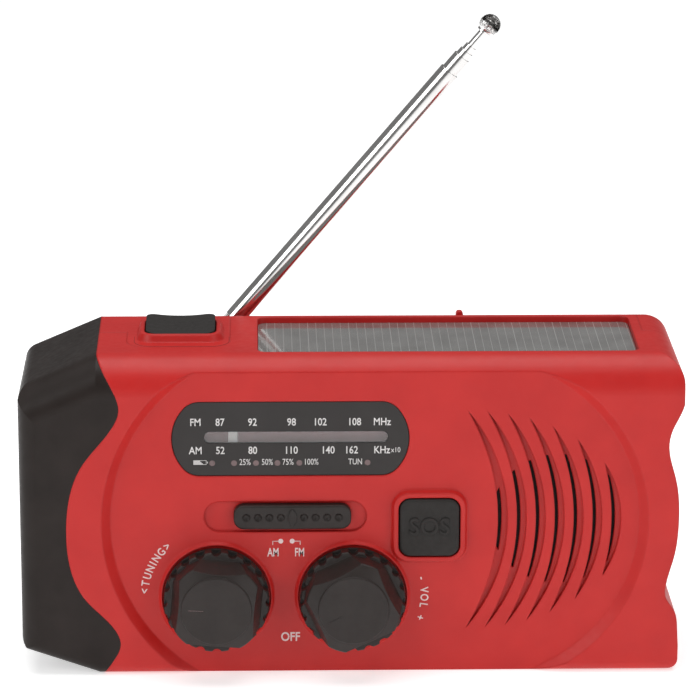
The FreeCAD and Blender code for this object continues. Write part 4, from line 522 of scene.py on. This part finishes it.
def collar_seam(materials):
    """Parting line on the red top, in front of the torch button's raised collar."""
    z = box_mm("front_shell")[1][2]
    x0, x1, y0 = TORCH_LOW[0] - 1.5, TORCH_HIGH[0] + 2.2, TORCH_LOW[1] - 4.4
    back, r = TORCH_LOW[1] + 4.0, 4.5
    round_left = [(x0 + r - r * math.cos(a), y0 + r - r * math.sin(a), z) for a in QUARTER]
    round_right = [(x1 - r + r * math.sin(a), y0 + r - r * math.cos(a), z) for a in QUARTER]
    line = [(x0, back, z)] + round_left + round_right + [(x1, back, z)]
    piece("collar_seam", stroke(line, 0.07, False, False), materials["seam"], "case")


# ---------------------------------------------------------------- floor, light and camera
FLOOR_GLOW = 0.5
WORLD_LIGHT = 0.22
STUDIO_LIGHTS = [      # name, place, size in metres, power in watts
    ("top_soft", (0.0, 0.1, 1.1), (1.2, 0.9), 9.5),
    ("left_soft", (-0.9, -0.7, 0.7), (0.7, 0.7), 5.0),
    ("right_soft", (0.9, -0.8, 0.5), (0.7, 0.7), 3.5),
]
CAMERA_TARGET = Vector((0.0002, 0.0, 0.0737))
CAMERA_DISTANCE = 0.8965
CAMERA_AZIMUTH = -1.606
CAMERA_ELEVATION = 16.34
CAMERA_ROLL = 0.217
CAMERA_LENS = 190.4


def add_camera():
    azimuth, elevation, roll = (math.radians(a) for a in (CAMERA_AZIMUTH, CAMERA_ELEVATION, CAMERA_ROLL))
    forward = Vector((-math.sin(azimuth) * math.cos(elevation), math.cos(azimuth) * math.cos(elevation),
                      -math.sin(elevation)))
    right = forward.cross(Vector((0, 0, 1))).normalized()
    up = right.cross(forward)
    turned_right = right * math.cos(roll) + up * math.sin(roll)
    turned_up = up * math.cos(roll) - right * math.sin(roll)
    data = bpy.data.cameras.new("camera")
    data.lens = CAMERA_LENS
    data.sensor_width = 36.0
    data.clip_start = 0.01
    camera = bpy.data.objects.new("camera", data)
    axes = Matrix((turned_right, turned_up, -forward)).transposed()
    camera.matrix_world = Matrix.Translation(CAMERA_TARGET - forward * CAMERA_DISTANCE) @ axes.to_4x4()
    bpy.context.scene.collection.objects.link(camera)
    bpy.context.scene.camera = camera


def plane(name, width, depth, matrix, material):
    mesh = bpy.data.meshes.new(name)
    x, y = width / 2, depth / 2
    mesh.from_pydata([(-x, -y, 0), (x, -y, 0), (x, y, 0), (-x, y, 0)], [], [(0, 1, 2, 3)])
    mesh.materials.append(material)
    obj = bpy.data.objects.new(name, mesh)
    obj.matrix_world = matrix
    bpy.context.scene.collection.objects.link(obj)
    return obj


def aimed(location, target):
    direction = (Vector(target) - Vector(location)).normalized()
    return Matrix.Translation(Vector(location)) @ direction.to_track_quat("-Z", "Y").to_matrix().to_4x4()


def area_light(name, location, target, size, energy):
    data = bpy.data.lights.new(name, "AREA")
    data.shape = "RECTANGLE"
    data.size, data.size_y = size
    data.energy = energy
    light = bpy.data.objects.new(name, data)
    light.matrix_world = aimed(location, target)
    bpy.context.scene.collection.objects.link(light)


def add_stage():
    floor = Shader("pale_floor", (0.93, 0.93, 0.93), 0.6, Emission_Color=(1, 1, 1, 1),
                   Emission_Strength=FLOOR_GLOW, Specular_IOR_Level=0.1)
    floor.vary_color(floor.spread(floor.noise(60.0), 0.0, 1.0), (0.92, 0.92, 0.92), (0.94, 0.94, 0.94))
    plane("floor", 8.0, 8.0, Matrix.Identity(4), floor.material)
    world = bpy.data.worlds.new("studio")
    world.use_nodes = True
    background = world.node_tree.nodes["Background"]
    background.inputs["Color"].default_value = (1.0, 1.0, 1.0, 1.0)
    background.inputs["Strength"].default_value = WORLD_LIGHT
    bpy.context.scene.world = world
    centre = (0, 0, 0.06)
    for name, place, size, energy in STUDIO_LIGHTS:
        area_light(name, place, centre, size, energy)
    bpy.context.scene.view_settings.view_transform = "Standard"


# ---------------------------------------------------------------- build
materials = make_materials()
dress_nodes(materials)
dial_printing(materials)
panel_printing(materials)
knob_line(materials["lamp"], "tuning_line", TUNING, 177, "tuning")
knob_line(materials["knob"], "volume_line", VOLUME, 207, "volume")
sos_letters(materials)
torch_mark(materials)
collar_seam(materials)
add_stage()
add_camera()
